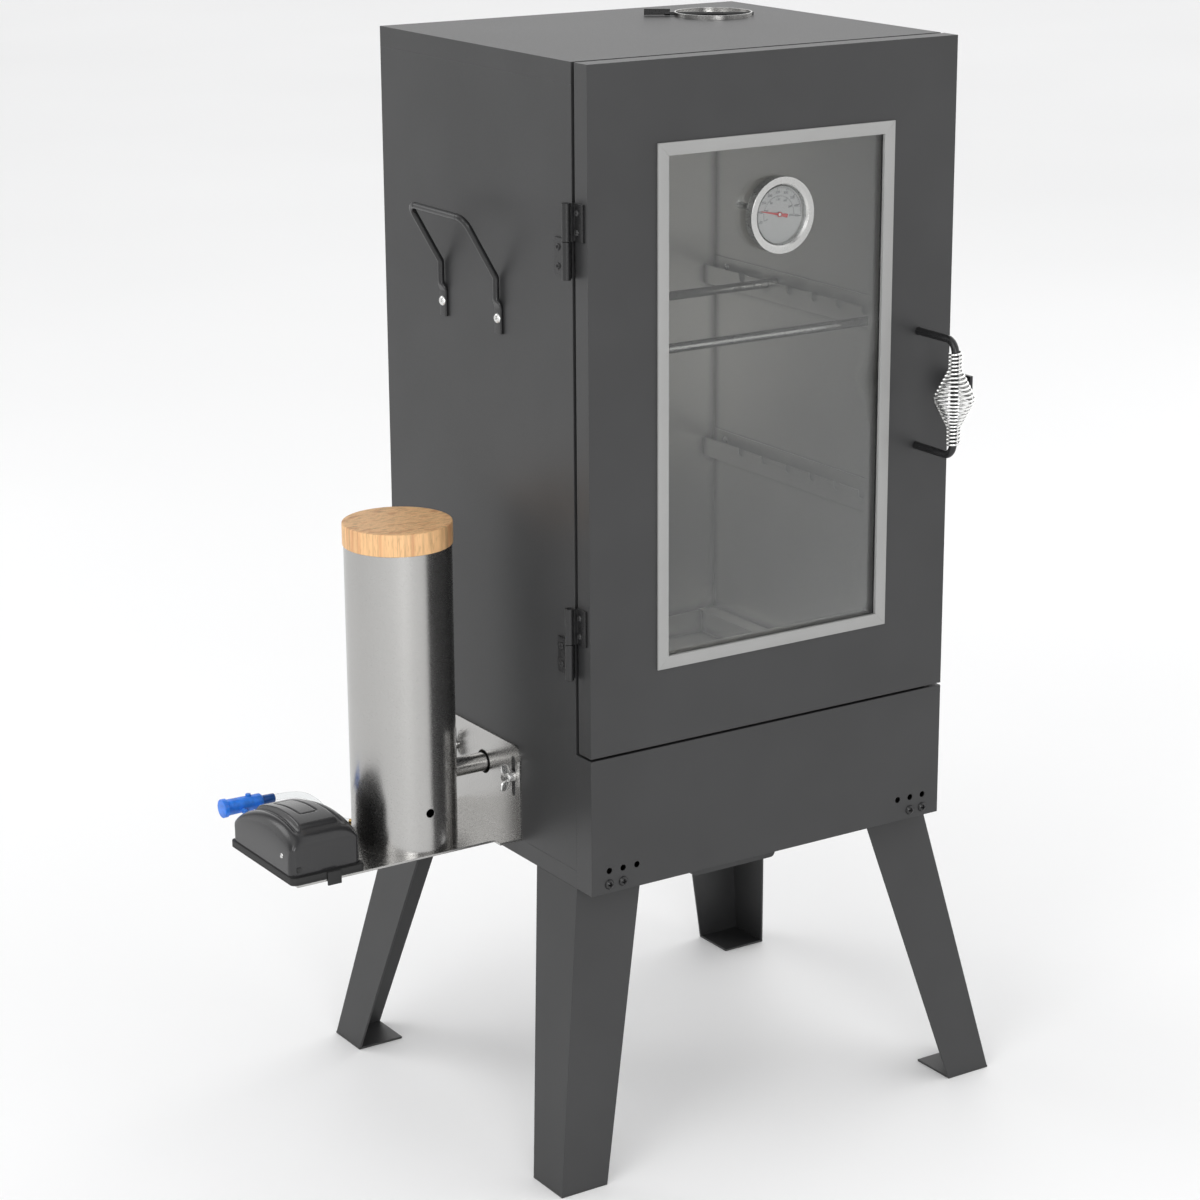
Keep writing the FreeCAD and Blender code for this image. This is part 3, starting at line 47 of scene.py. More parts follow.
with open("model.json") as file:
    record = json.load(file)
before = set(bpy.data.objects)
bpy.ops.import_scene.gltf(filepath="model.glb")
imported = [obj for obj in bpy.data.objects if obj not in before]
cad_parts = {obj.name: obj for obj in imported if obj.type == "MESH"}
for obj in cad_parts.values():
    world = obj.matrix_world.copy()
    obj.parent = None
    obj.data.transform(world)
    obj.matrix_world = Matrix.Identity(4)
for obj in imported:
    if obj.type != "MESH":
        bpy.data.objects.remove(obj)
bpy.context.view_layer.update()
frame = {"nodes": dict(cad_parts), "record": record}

MM = 0.001
X = np.array([1.0, 0.0, 0.0])
Y = np.array([0.0, 1.0, 0.0])
Z = np.array([0.0, 0.0, 1.0])

# The clear hose's route from the cross pipe to the generator's air nozzle
HOSE_ROUTE = [
    (-0.27925, 0.1253, 0.318),
    (-0.26325, 0.1253, 0.318),
    (-0.24925, 0.1143, 0.3175),
    (-0.24425, 0.0953, 0.311),
    (-0.24225, 0.0769, 0.303),
    (-0.23179, 0.06351, 0.303),
]

# Name, place, side and power of each lamp
LIGHTS = [
    ("key", (-3.4, -1.6, 2.6), 1.8, 30.0),
    ("front_fill", (-1.4, -4.2, 1.5), 1.6, 45.0),
    ("rim", (-2.2, 3.0, 2.8), 1.8, 20.0),
    ("right_fill", (3.6, 0.6, 2.2), 2.0, 15.0),
]

# Thickness of the dial's printed marks, and of its numbers
INK = 0.05 * MM
NUMBER_DEPTH = 0.04 * MM

# What the lamps are aimed at
LAMP_AIM = (0.05, 0, 0.6)


def span(node):
    """A CAD node's lowest and highest corner, as two arrays."""
    low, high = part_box(node)
    return np.array(low), np.array(high)


# Settings


class SmokerSizes(bpy.types.PropertyGroup):
    """Sizes of the pieces that are finished here."""

    grip_wire: bpy.props.FloatProperty(
        name="Grip wire", description="Diameter of the coiled wire", default=0.0021, unit="LENGTH")
    grip_turns: bpy.props.IntProperty(
        name="Grip turns", description="Turns of the coil", default=25, min=8)
    trim_width: bpy.props.FloatProperty(
        name="Trim width", description="Width of the window trim's face", default=0.010,
        unit="LENGTH")
    trim_gap: bpy.props.FloatProperty(
        name="Mitre gap", description="Open joint at each mitre", default=0.00012, unit="LENGTH")
    dial_radius: bpy.props.FloatProperty(
        name="Dial radius", description="Radius of the dial's face", default=0.026, unit="LENGTH")
    carry_rod: bpy.props.FloatProperty(
        name="Carry rod", description="Radius of the carry handles' rod", default=0.003, unit="LENGTH")
    carry_bend: bpy.props.FloatProperty(
        name="Carry bend", description="Radius of the carry handles' bends", default=0.011, unit="LENGTH")
    lid_edge: bpy.props.FloatProperty(
        name="Lid edge", description="Rounding of the lid's rim", default=0.0011, unit="LENGTH")
    hose_diameter: bpy.props.FloatProperty(
        name="Hose diameter", description="Outer diameter of the air hose", default=0.006, unit="LENGTH")


class SmokerColours(bpy.types.PropertyGroup):
    """Base colours of the finishes."""

    coat: bpy.props.FloatVectorProperty(
        name="Powder coat", description="Cabinet and door", default=(0.027, 0.0273, 0.028),
        subtype="COLOR")
    black: bpy.props.FloatVectorProperty(
        name="Black coat", description="Handles, hinges and latch", default=(0.012, 0.012, 0.0125),
        subtype="COLOR")
    steel: bpy.props.FloatVectorProperty(
        name="Stainless", description="Generator and fittings", default=(0.43, 0.425, 0.415),
        subtype="COLOR")
    liner: bpy.props.FloatVectorProperty(
        name="Liner", description="Sheet inside the chamber", default=(0.50, 0.49, 0.475), subtype="COLOR")
    trim: bpy.props.FloatVectorProperty(
        name="Trim", description="Window trim", default=(0.33, 0.33, 0.325), subtype="COLOR")
    wood: bpy.props.FloatVectorProperty(
        name="Lid wood", description="Light wood between its growth lines", default=(0.77, 0.47, 0.23),
        subtype="COLOR")
    blue: bpy.props.FloatVectorProperty(
        name="Air fitting", description="Cross pipe of the air line", default=(0.035, 0.22, 0.80),
        subtype="COLOR")
    needle: bpy.props.FloatVectorProperty(
        name="Needle", description="Thermometer needle", default=(0.45, 0.012, 0.012), subtype="COLOR")


class StageSettings(bpy.types.PropertyGroup):
    """Camera, floor and lights."""

    camera_place: bpy.props.FloatVectorProperty(
        name="Camera", description="Where the camera stands", default=(-1.523705, -2.383881, 1.346432),
        subtype="TRANSLATION")
    camera_aim: bpy.props.FloatVectorProperty(
        name="Aim", description="Direction the camera looks in", default=(0.53352, 0.79562, -0.28694),
        subtype="DIRECTION")
    lens: bpy.props.FloatProperty(
        name="Lens", description="Focal length in millimetres on a 36 mm sensor", default=93.39)
    shift: bpy.props.FloatVectorProperty(
        name="Shift", description="Sideways and upward shift of the view", size=2, default=(-0.0477, -0.0007))
    floor_size: bpy.props.FloatProperty(
        name="Floor", description="Half the side of the floor", default=30.0, unit="LENGTH")
    sky: bpy.props.FloatProperty(name="Sky", description="Strength of the even light", default=1.2)


# Surfaces


def grid_faces(rows, columns, wrap_rows, wrap_columns):
    """Quads between neighbouring points of a grid numbered row by row. A wrapped way also joins
    its last points to its first."""
    i = np.arange(rows if wrap_rows else rows - 1)
    j = np.arange(columns if wrap_columns else columns - 1)
    i, j = (k.ravel() for k in np.meshgrid(i, j, indexing="ij"))
    ahead, across = (i + 1) % rows, (j + 1) % columns
    return np.stack([i * columns + j, i * columns + across, ahead * columns + across, ahead * columns + j], 1)


def surface(points, wrap_rows=False, wrap_columns=False):
    """A grid of points as flat lists of points and faces."""
    return points.reshape(-1, 3), grid_faces(*points.shape[:2], wrap_rows, wrap_columns)


def unit(vectors):
    """Each vector divided by its length."""
    return vectors / np.linalg.norm(vectors, axis=-1, keepdims=True)


def rounded(corners, radius, steps=5):
    """An open outline whose inner corners are arcs: each arc touches both of its runs, so it
    starts and ends radius times the tangent of half the turn from the corner."""
    corners = np.array(corners, float)
    pieces = [corners[:1]]
    for before, corner, after in zip(corners[:-2], corners[1:-1], corners[2:]):
        back, ahead = unit(before - corner), unit(after - corner)
        half_turn = (math.pi - math.acos(np.clip(back @ ahead, -1, 1))) / 2
        if half_turn < 1e-4:
            continue
        centre = corner + unit(back + ahead) * radius / math.cos(half_turn)
        ray = unit(corner - centre)
        side = unit(ahead - (ahead @ ray) * ray)
        angle = np.linspace(-half_turn, half_turn, steps + 1)[:, None]
        pieces.append(centre + radius * (np.cos(angle) * ray + np.sin(angle) * side))
    pieces.append(corners[-1:])
    return np.concatenate(pieces)


def lathe(profile, centre, axis=Z, steps=64):
    """A profile of (radius, height) turned about an axis: each point is the centre, plus its
    height along the axis, plus its radius times the cosine and sine of the angle."""
    profile = np.array(profile, float)
    side = unit(np.cross(axis, X if abs(axis[0]) < 0.9 else Z))
    other = np.cross(axis, side)
    angle = np.arange(steps) * 2 * math.pi / steps
    ring = np.cos(angle)[:, None] * side + np.sin(angle)[:, None] * other
    points = np.array(centre) + profile[:, 1, None, None] * axis + profile[:, 0, None, None] * ring
    return surface(points, wrap_columns=True)


def sweep(line, side, width, height=None, power=2.0, steps=16):
    """A closed section carried along a line and capped: the section is a superellipse of the
    given power, width along side and height across it, both half sizes."""
    tangent = unit(np.gradient(line, axis=0))
    side = np.broadcast_to(side, line.shape)
    side = unit(side - (side * tangent).sum(1)[:, None] * tangent)
    other = np.cross(tangent, side)
    width = np.broadcast_to(width, len(line))
    height = width if height is None else np.broadcast_to(height, len(line))
    angle = np.arange(steps) * 2 * math.pi / steps
    power = np.broadcast_to(power, len(line))[:, None]
    cosine = np.sign(np.cos(angle)) * np.abs(np.cos(angle)) ** (2 / power)
    sine = np.sign(np.sin(angle)) * np.abs(np.sin(angle)) ** (2 / power)
    points = line[:, None] + (cosine * width[:, None])[..., None] * side[:, None]
    points = points + (sine * height[:, None])[..., None] * other[:, None]
    first = np.repeat(line[:1, None], steps, 1)
    last = np.repeat(line[-1:, None], steps, 1)
    return surface(np.concatenate([first, points, last]), wrap_columns=True)


def slab(low, high, radius, edge, steps=6):
    """A plate with rounded corners in plan and softened upper and lower edges: rings of its
    outline, moved in along the outline's normals as an arc of the edge's radius asks."""
    centre, half = (np.array(low) + high) / 2, (np.array(high) - low) / 2
    start = (np.arange(4 * (steps + 1)) // (steps + 1)) * math.pi / 2
    angle = start + np.tile(np.linspace(0, math.pi / 2, steps + 1), 4)
    normal = np.stack([np.cos(angle), np.sin(angle), 0 * angle], 1)
    quarter = start + math.pi / 4
    corner = np.stack([np.sign(np.cos(quarter)) * (half[0] - radius),
                       np.sign(np.sin(quarter)) * (half[1] - radius), 0 * quarter], 1)
    outline = centre + corner + radius * normal
    turn = np.linspace(0, math.pi / 2, 4)
    inset = edge * (1 - np.sin(turn))
    rise = half[2] - edge + edge * np.cos(turn)
    inset = np.concatenate([inset, inset[::-1]])
    rise = np.concatenate([rise, -rise[::-1]])
    rings = outline[None] - inset[:, None, None] * normal + rise[:, None, None] * Z
    top = np.broadcast_to(centre + half[2] * Z, rings[:1].shape)
    foot = np.broadcast_to(centre - half[2] * Z, rings[:1].shape)
    return surface(np.concatenate([top, rings, foot]), wrap_columns=True)


def new_piece(name, surfaces, body, material, stands_for=(), sharp=40.0):
    """Joins surfaces into one closed mesh that faces outwards, and rides it on its body."""
    starts = np.cumsum([0] + [len(points) for points, _ in surfaces])
    points = np.concatenate([p for p, _ in surfaces])
    faces = np.concatenate([f + n for (_, f), n in zip(surfaces, starts)])
    mesh = bpy.data.meshes.new(name)
    mesh.from_pydata(points.tolist(), [], faces.tolist())
    shell = bmesh.new()
    shell.from_mesh(mesh)
    bmesh.ops.remove_doubles(shell, verts=shell.verts, dist=1e-6)
    bmesh.ops.holes_fill(shell, edges=[e for e in shell.edges if e.is_boundary], sides=0)
    bmesh.ops.recalc_face_normals(shell, faces=shell.faces)
    shell.to_mesh(mesh)
    shell.free()
    return place(name, mesh, body, material, stands_for, sharp)


def place(name, data, body, material, stands_for=(), sharp=40.0):
    """Links a finished mesh or curve, shades it and rides it on its body."""
    if isinstance(data, bpy.types.Mesh):
        data.shade_smooth()
        data.set_sharp_from_angle(angle=math.radians(sharp))
    data.materials.clear()
    data.materials.append(material)
    piece = bpy.data.objects.new(name, data)
    bpy.context.scene.collection.objects.link(piece)
    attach(piece, body)
    if stands_for:
        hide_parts(*stands_for)
    return piece


# Finishes


def add(tree, kind, inputs, **settings):
    """One shader node, with its settings and its inputs' values or links."""
    made = tree.nodes.new(kind)
    for name, value in settings.items():
        setattr(made, name, value)
    for name, value in inputs.items():
        if isinstance(value, bpy.types.NodeSocket):
            tree.links.new(value, made.inputs[name])
        else:
            made.inputs[name].default_value = value
    return made


def blank(name):
    """A new material and its empty node tree."""
    material = bpy.data.materials.new(name)
    material.use_nodes = True
    material.node_tree.nodes.clear()
    return material, material.node_tree


def pattern(tree, scale, stretch=(1, 1, 1), detail=3.0, distortion=0.0):
    """Noise on the object's own coordinates, stretched along an axis where its factor is small."""
    place_in = add(tree, "ShaderNodeTexCoord", {})
    spread = add(tree, "ShaderNodeMapping", {"Vector": place_in.outputs["Object"], "Scale": stretch})
    noise = add(tree, "ShaderNodeTexNoise", {"Vector": spread.outputs[0], "Scale": scale, "Detail": detail,
                                             "Distortion": distortion})
    return noise.outputs["Fac"]


def between(tree, factor, low, high, start=0.3, end=0.7):
    """The factor's range from start to end, mapped to low to high."""
    return add(tree, "ShaderNodeMapRange", {"Value": factor, "From Min": start, "From Max": end,
                                            "To Min": low, "To Max": high}).outputs[0]


def shades(tree, factor, stops):
    """A colour ramp of (place, colour) stops."""
    ramp = add(tree, "ShaderNodeValToRGB", {"Fac": factor})
    while len(ramp.color_ramp.elements) < len(stops):
        ramp.color_ramp.elements.new(0.5)
    for element, (position, colour) in zip(ramp.color_ramp.elements, stops):
        element.position = position
        element.color = (*colour, 1)
    return ramp.outputs[0]


def tinted(colour, factor):
    """A colour made lighter or darker."""
    return tuple(min(1.0, c * factor) for c in colour)


def finish(name, colour, roughness, metallic=0.0, grain=900.0, stretch=(1, 1, 1), depth=0.00005,
           swing=0.05, patches=9.0, contrast=0.12, edge=0.0, corner_shade=0.0):
    """A solid finish: broad patches vary its colour, and a fine grain, stretched for a brushed
    metal, varies its roughness and raises its surface. edge rounds the corners' shading, and
    the last setting paints shade: it darkens the colour within that distance of a corner."""
    material, tree = blank(name)
    broad = pattern(tree, patches, detail=2.0)
    fine = pattern(tree, grain, stretch)
    colours = shades(tree, broad, [(0.3, tinted(colour, 1 - contrast)), (0.7, tinted(colour, 1 + contrast))])
    bump = add(tree, "ShaderNodeBump", {"Height": fine, "Distance": depth, "Strength": 0.6})
    if edge:
        soft = add(tree, "ShaderNodeBevel", {"Radius": edge}, samples=4)
        tree.links.new(soft.outputs[0], bump.inputs["Normal"])
    # Painted shade: ambient occlusion darkens the colour near corners, where shade falls.
    if corner_shade:
        open_part = add(tree, "ShaderNodeAmbientOcclusion", {"Distance": corner_shade}, samples=8).outputs["AO"]
        shade = between(tree, open_part, 0.12, 1.0, 0.2, 0.95)
        dimmed = add(tree, "ShaderNodeVectorMath", {0: colours, "Scale": shade}, operation="SCALE")
        colours = dimmed.outputs[0]
    shader = add(tree, "ShaderNodeBsdfPrincipled", {
        "Base Color": colours, "Metallic": metallic, "Normal": bump.outputs[0],
        "Roughness": between(tree, fine, roughness - swing, roughness + swing)})
    add(tree, "ShaderNodeOutputMaterial", {"Surface": shader.outputs[0]})
    return material


def wood_finish(name, colour):
    """Light wood: growth lines stand upright, so they show as streaks on the rim and as wavy
    lines on the face, with short darker pores and a few reddish streaks."""
    material, tree = blank(name)
    lines = pattern(tree, 150.0, (0.8, 3.6, 0.05), detail=4.0, distortion=0.5)
    pores = pattern(tree, 900.0, (1.0, 1.0, 0.12), detail=2.0)
    red = pattern(tree, 80.0, (1.0, 1.6, 0.05), detail=1.0)
    base = shades(tree, lines, [(0.30, tinted(colour, 0.56)), (0.45, tinted(colour, 0.96)),
                                (0.60, tinted(colour, 1.12)), (0.74, tinted(colour, 0.72))])
    warm = add(tree, "ShaderNodeMix", {"Factor": between(tree, red, 0.0, 0.5, 0.56, 0.68), "A": base,
                                       "B": (0.52, 0.21, 0.09, 1)}, data_type="RGBA")
    dark = add(tree, "ShaderNodeMix", {"Factor": between(tree, pores, 0.34, 0.0, 0.30, 0.46),
                                       "A": warm.outputs["Result"], "B": (0.30, 0.16, 0.07, 1)},
               data_type="RGBA")
    bump = add(tree, "ShaderNodeBump", {"Height": pores, "Distance": 0.00012, "Strength": 0.7})
    shader = add(tree, "ShaderNodeBsdfPrincipled", {
        "Base Color": dark.outputs["Result"], "Roughness": between(tree, pores, 0.62, 0.48),
        "Normal": bump.outputs[0]})
    add(tree, "ShaderNodeOutputMaterial", {"Surface": shader.outputs[0]})
    return material


def pane_finish(name, tint, haze, smudge, gloss=0.06):
    """A thin clear wall: what is behind shows through its tint, its surface mirrors more at a
    glancing angle, and a patchy haze of fine dust scatters a little light."""
    material, tree = blank(name)
    clear = add(tree, "ShaderNodeBsdfTransparent", {"Color": (*tint, 1)})
    dust = add(tree, "ShaderNodeBsdfDiffuse", {"Color": (*haze, 1)})
    mirror = add(tree, "ShaderNodeBsdfGlossy", {"Color": (0.95, 0.96, 0.96, 1), "Roughness": gloss})
    fine = pattern(tree, 1400.0, detail=2.0)
    broad = pattern(tree, 7.0, detail=4.0)
    both = add(tree, "ShaderNodeMath", {0: fine, 1: broad}, operation="MULTIPLY")
    share = between(tree, both.outputs[0], smudge * 0.6, smudge * 1.5, 0.12, 0.4)
    hazy = add(tree, "ShaderNodeMixShader", {0: share, 1: clear.outputs[0], 2: dust.outputs[0]})
    glance = add(tree, "ShaderNodeFresnel", {"IOR": 1.45})
    shader = add(tree, "ShaderNodeMixShader",
                 {0: glance.outputs[0], 1: hazy.outputs[0], 2: mirror.outputs[0]})
    add(tree, "ShaderNodeOutputMaterial", {"Surface": shader.outputs[0]})
    return material


def resin_finish(name, colour, show):
    """Translucent moulded plastic: a glossy coloured body that lets part of the light through."""
    material, tree = blank(name)
    flow = pattern(tree, 160.0, (1.0, 0.4, 1.0), detail=2.0)
    colours = shades(tree, flow, [(0.3, tinted(colour, 0.8)), (0.7, tinted(colour, 1.3))])
    solid = add(tree, "ShaderNodeBsdfPrincipled", {"Base Color": colours, "Roughness": 0.22,
                                                   "Subsurface Weight": 0.25, "Subsurface Scale": 0.004})
    clear = add(tree, "ShaderNodeBsdfTransparent", {"Color": (*tinted(colour, 1.6), 1)})
    shader = add(tree, "ShaderNodeMixShader", {0: show, 1: clear.outputs[0], 2: solid.outputs[0]})
    add(tree, "ShaderNodeOutputMaterial", {"Surface": shader.outputs[0]})
    return material


def hose_finish(name):
    """Clear soft tube: nearly invisible head on and darker along its edges, where one looks
    through more of its wall."""
    material, tree = blank(name)
    clear = add(tree, "ShaderNodeBsdfTransparent", {"Color": (0.96, 0.97, 0.97, 1)})
    tone = shades(tree, pattern(tree, 300.0), [(0.3, (0.06, 0.065, 0.07)), (0.7, (0.11, 0.115, 0.12))])
    wall = add(tree, "ShaderNodeBsdfPrincipled", {"Base Color": tone, "Roughness": 0.12})
    glance = add(tree, "ShaderNodeLayerWeight", {"Blend": 0.35})
    share = between(tree, glance.outputs["Facing"], 0.03, 0.85, 0.45, 0.9)
    shader = add(tree, "ShaderNodeMixShader", {0: share, 1: clear.outputs[0], 2: wall.outputs[0]})
    add(tree, "ShaderNodeOutputMaterial", {"Surface": shader.outputs[0]})
    return material


def finishes():
    """Every finish by its record slot's name, made once."""
    made = bpy.context.scene.get("smoker_finishes")
    if made:
        return {slot: bpy.data.materials[name] for slot, name in made.items()}
    colour = bpy.context.scene.smoker_colours
    coat, black, steel = tuple(colour.coat), tuple(colour.black), tuple(colour.steel)
    gold = (0.62, 0.42, 0.16)
    made = {
        "cabinet_paint": finish("powder_coat", coat, 0.44, grain=1500, depth=0.00003, edge=0.0009),
        "door_paint": finish("door_coat", tinted(coat, 1.06), 0.43, grain=1500, depth=0.00003, edge=0.0009),
        "black_steel": finish("black_coat", black, 0.30, grain=1100, depth=0.00004, edge=0.0005),
        "stainless": finish("brushed_stainless", steel, 0.25, 1.0, 500, (1, 1, 9), 0.000002, 0.05,
                            contrast=0.03, edge=0.0004),
        # The liner's colour gets painted shade near its corners.
        "liner_steel": finish("liner_sheet", tuple(colour.liner), 0.33, 1.0, 1300, (1, 1, 1), 0.000004, 0.06,
                              contrast=0.05, corner_shade=0.012),
        "trim_aluminium": finish("trim_metal", tuple(colour.trim), 0.48, 0.35, 700, (1, 1, 1), 0.00001, 0.05,
                                 contrast=0.04),
        "window_glass": pane_finish("window_pane", (0.93, 0.935, 0.93), (0.34, 0.34, 0.335), 0.03),
        "bright_zinc": finish("zinc_plate", (0.62, 0.62, 0.61), 0.26, 1.0, 1600, depth=0.00002,
                              contrast=0.2),
        "spring_chrome": finish("polished_wire", (0.86, 0.86, 0.85), 0.13, 1.0, 900, depth=0.00001,
                                swing=0.03),
        "seal_rubber": finish("seal_rubber", (0.011, 0.011, 0.011), 0.62, grain=1200, depth=0.00008),
        "pump_plastic": finish("pump_shell", (0.021, 0.021, 0.022), 0.22, grain=1900, depth=0.00003,
                               swing=0.04),
        "blue_plastic": resin_finish("blue_moulding", tuple(colour.blue), 0.86),
        "clear_hose": hose_finish("clear_hose"),
        "lid_wood": wood_finish("lid_wood", tuple(colour.wood)),
        "mineral_wool": finish("mineral_wool", (0.42, 0.37, 0.20), 0.9, grain=500, depth=0.0006,
                               contrast=0.3),
        "dial_white": finish("dial_face", (0.40, 0.40, 0.395), 0.42, 0.25, 1500, depth=0.00001,
                             contrast=0.06),
        "needle_red": finish("needle_red", tuple(colour.needle), 0.32, grain=1500, depth=0.00001),
        "lens_glass": pane_finish("dial_lens", (0.98, 0.985, 0.985), (0.5, 0.5, 0.5), 0.006, 0.03),
        "gland_plastic": finish("gland_nylon", (0.012, 0.012, 0.012), 0.50, grain=1100),
        "brass": finish("turned_brass", gold, 0.28, 1.0, 1200, contrast=0.15, depth=0.00002),
    }
    bpy.context.scene["smoker_finishes"] = {slot: m.name for slot, m in made.items()}
    return made


# Pieces


class SMOKER_OT_finishes(bpy.types.Operator):
    """Give every CAD piece the finish of its record slot"""

    bl_idname = "smoker.finishes"
    bl_label = "CAD piece finishes"

    def execute(self, context):
        made = finishes()
        for row in frame["record"]["subparts"]:
            mesh = frame["nodes"][row["node"]].data
            for index in range(len(mesh.materials)):
                mesh.materials[index] = made[row["material_slot"]]
        return {"FINISHED"}


class SMOKER_OT_window_trim(bpy.types.Operator):
    """Build the window's trim as four mitred bars"""

    bl_idname = "smoker.window_trim"
    bl_label = "Window trim"

    def execute(self, context):
        sizes = context.scene.smoker_sizes
        low, high = span("window_trim")
        centre, half = (low + high) / 2, (high - low) / 2 - sizes.trim_width
        front = low[1]
        skin = front + 2 * MM
        lip = 1.5 * MM
        edge = 0.45 * MM
        face = rounded([(sizes.trim_width, skin), (sizes.trim_width, front), (-lip, front), (-lip, high[1])],
                       edge, 3)
        profile = np.concatenate([face, [(0, high[1]), (0, skin)]])
        bars = []
        for k in range(4):
            angle = k * math.pi / 2 + math.pi / 4 + np.array([0, math.pi / 2])
            signs = np.sign(np.stack([np.cos(angle), np.sin(angle)], 1))
            along = unit(signs[1] - signs[0]) * sizes.trim_gap / 2
            ends = signs[:, None] * (half[[0, 2]] + profile[:, :1])
            ends = ends + np.stack([along, -along])[:, None]
            points = np.empty((2, len(profile), 3))
            points[..., 0] = centre[0] + ends[..., 0]
            points[..., 1] = profile[:, 1]
            points[..., 2] = centre[2] + ends[..., 1]
            bars.append(surface(points, wrap_columns=True))
        new_piece("mitred_trim", bars, "door", finishes()["trim_aluminium"],
                  ["window_trim"], sharp=25)
        return {"FINISHED"}


def dial_centre():
    """The middle of the dial's back, from the thermometer's case."""
    low, high = span("thermometer_case")
    return np.array([(low[0] + high[0]) / 2, low[1], (low[2] + high[2]) / 2])


def dial_marks(centre, radius, front, start, end, count, long_every, reach):
    """Thin bars of a scale: each runs from one radius to another at its own angle, and the
    bars between the long ones are shorter and thinner."""
    bars = []
    angle = np.radians(np.linspace(start, end, count))
    for k, a in enumerate(angle):
        long = k % long_every == 0
        out = np.array([math.cos(a), 0, math.sin(a)])
        share, half_width = (1, 0.26 * MM) if long else (0.55, 0.15 * MM)
        line = centre + np.linspace(radius - reach * share, radius, 2)[:, None] * out
        line[:, 1] = front
        bars.append(sweep(line, np.array([-out[2], 0, out[0]]), half_width, INK, 4.0, 8))
    return bars


def numerals(centre, radius, front, start, end, values, height):
    """Numbers set upright round an arc, as one mesh."""
    joined = bmesh.new()
    for a, value in zip(np.radians(np.linspace(start, end, len(values))), values):
        text = bpy.data.curves.new("numeral", "FONT")
        text.body = str(value)
        text.size = height
        text.extrude = NUMBER_DEPTH
        text.align_x = "CENTER"
        text.align_y = "CENTER"
        holder = bpy.data.objects.new("numeral", text)
        bpy.context.scene.collection.objects.link(holder)
        bpy.context.view_layer.update()
        mesh = bpy.data.meshes.new_from_object(holder.evaluated_get(bpy.context.evaluated_depsgraph_get()))
        spot = Vector((centre[0] + radius * math.cos(a), front, centre[2] + radius * math.sin(a)))
        mesh.transform(Matrix.Translation(spot) @ Matrix.Rotation(math.pi / 2, 4, "X"))
        joined.from_mesh(mesh)
        bpy.data.objects.remove(holder)
        bpy.data.curves.remove(text)
        bpy.data.meshes.remove(mesh)
    bmesh.ops.remove_doubles(joined, verts=joined.verts, dist=1e-7)
    bmesh.ops.recalc_face_normals(joined, faces=joined.faces)
    mesh = bpy.data.meshes.new("dial_numbers")
    joined.to_mesh(mesh)
    joined.free()
    return mesh


class SMOKER_OT_thermometer(bpy.types.Operator):
    """Build the thermometer's turned case, its two printed scales with their numbers, and the
    needle's cap"""

    bl_idname = "smoker.thermometer"
    bl_label = "Thermometer"

    def execute(self, context):
        dial = context.scene.smoker_sizes.dial_radius
        low, high = span("thermometer_case")
        outer = (high[0] - low[0]) / 2
        centre = dial_centre()
        back = span("thermometer_dial")[1][1] - centre[1]
        seat = span("door_skin")[0][1] + 1.2 * MM - centre[1]
        stem_end = high[1] - centre[1]
        stem = 3 * MM
        well, slope, lean = 2.6 * MM, 2.4 * MM, 0.2 * MM
        front = rounded([(0, back), (dial, back), (dial, well), (dial + slope, lean), (outer - lean, 0.0),
                         (outer, seat), (stem, seat), (stem, stem_end), (0, stem_end)], 0.5 * MM, 4)
        made = finishes()
        new_piece("turned_case", [lathe(front, centre, Y, 128)], "door",
                  finish("satin_bezel", (0.50, 0.50, 0.49), 0.30, 1.0, 800, (1, 1, 1), 0.00002, 0.06),
                  ["thermometer_case"], 30)
        sheet = 0.6 * MM
        face = span("thermometer_dial")[1][1] - sheet - INK
        ink = finish("dial_ink", (0.012, 0.012, 0.013), 0.5, grain=1500, depth=0.00001)
        start, end = 196.0, -8.0
        outer_scale, inner_scale = dial - 1.6 * MM, dial - 9.4 * MM
        marks = dial_marks(centre, outer_scale, face, start, end, 41, 5, 2.3 * MM)
        marks += dial_marks(centre, inner_scale, face, start, end, 31, 5, 1.7 * MM)
        arc = np.radians(np.linspace(start, end, 80))
        for radius in (outer_scale, inner_scale):
            line = centre + radius * np.stack([np.cos(arc), 0 * arc, np.sin(arc)], 1)
            line[:, 1] = face
            marks.append(sweep(line, Y, INK, 0.1 * MM, 4.0, 8))
        new_piece("dial_scales", marks, "door", ink, [], 30)
        for name, radius, values, height in (
                ("outer_numbers", dial - 6.0 * MM, range(50, 451, 50), 3.3 * MM),
                ("inner_numbers", dial - 12.6 * MM, range(0, 241, 40), 2.7 * MM)):
            mesh = numerals(centre, radius, face, start, end, values, height)
            mesh.name = name
            place(name, mesh, "door", ink, [], 30)
        cap = rounded([(0, -0.5 * MM), (1.5 * MM, -0.4 * MM), (1.7 * MM, 0.3 * MM), (0, 0.3 * MM)],
                      0.25 * MM, 3)
        pivot = np.array([centre[0], span("thermometer_needle")[0][1], centre[2]])
        new_piece("needle_cap", [lathe(cap, pivot, Y, 32)], "needle", made["bright_zinc"],
                  [], 30)
        return {"FINISHED"}


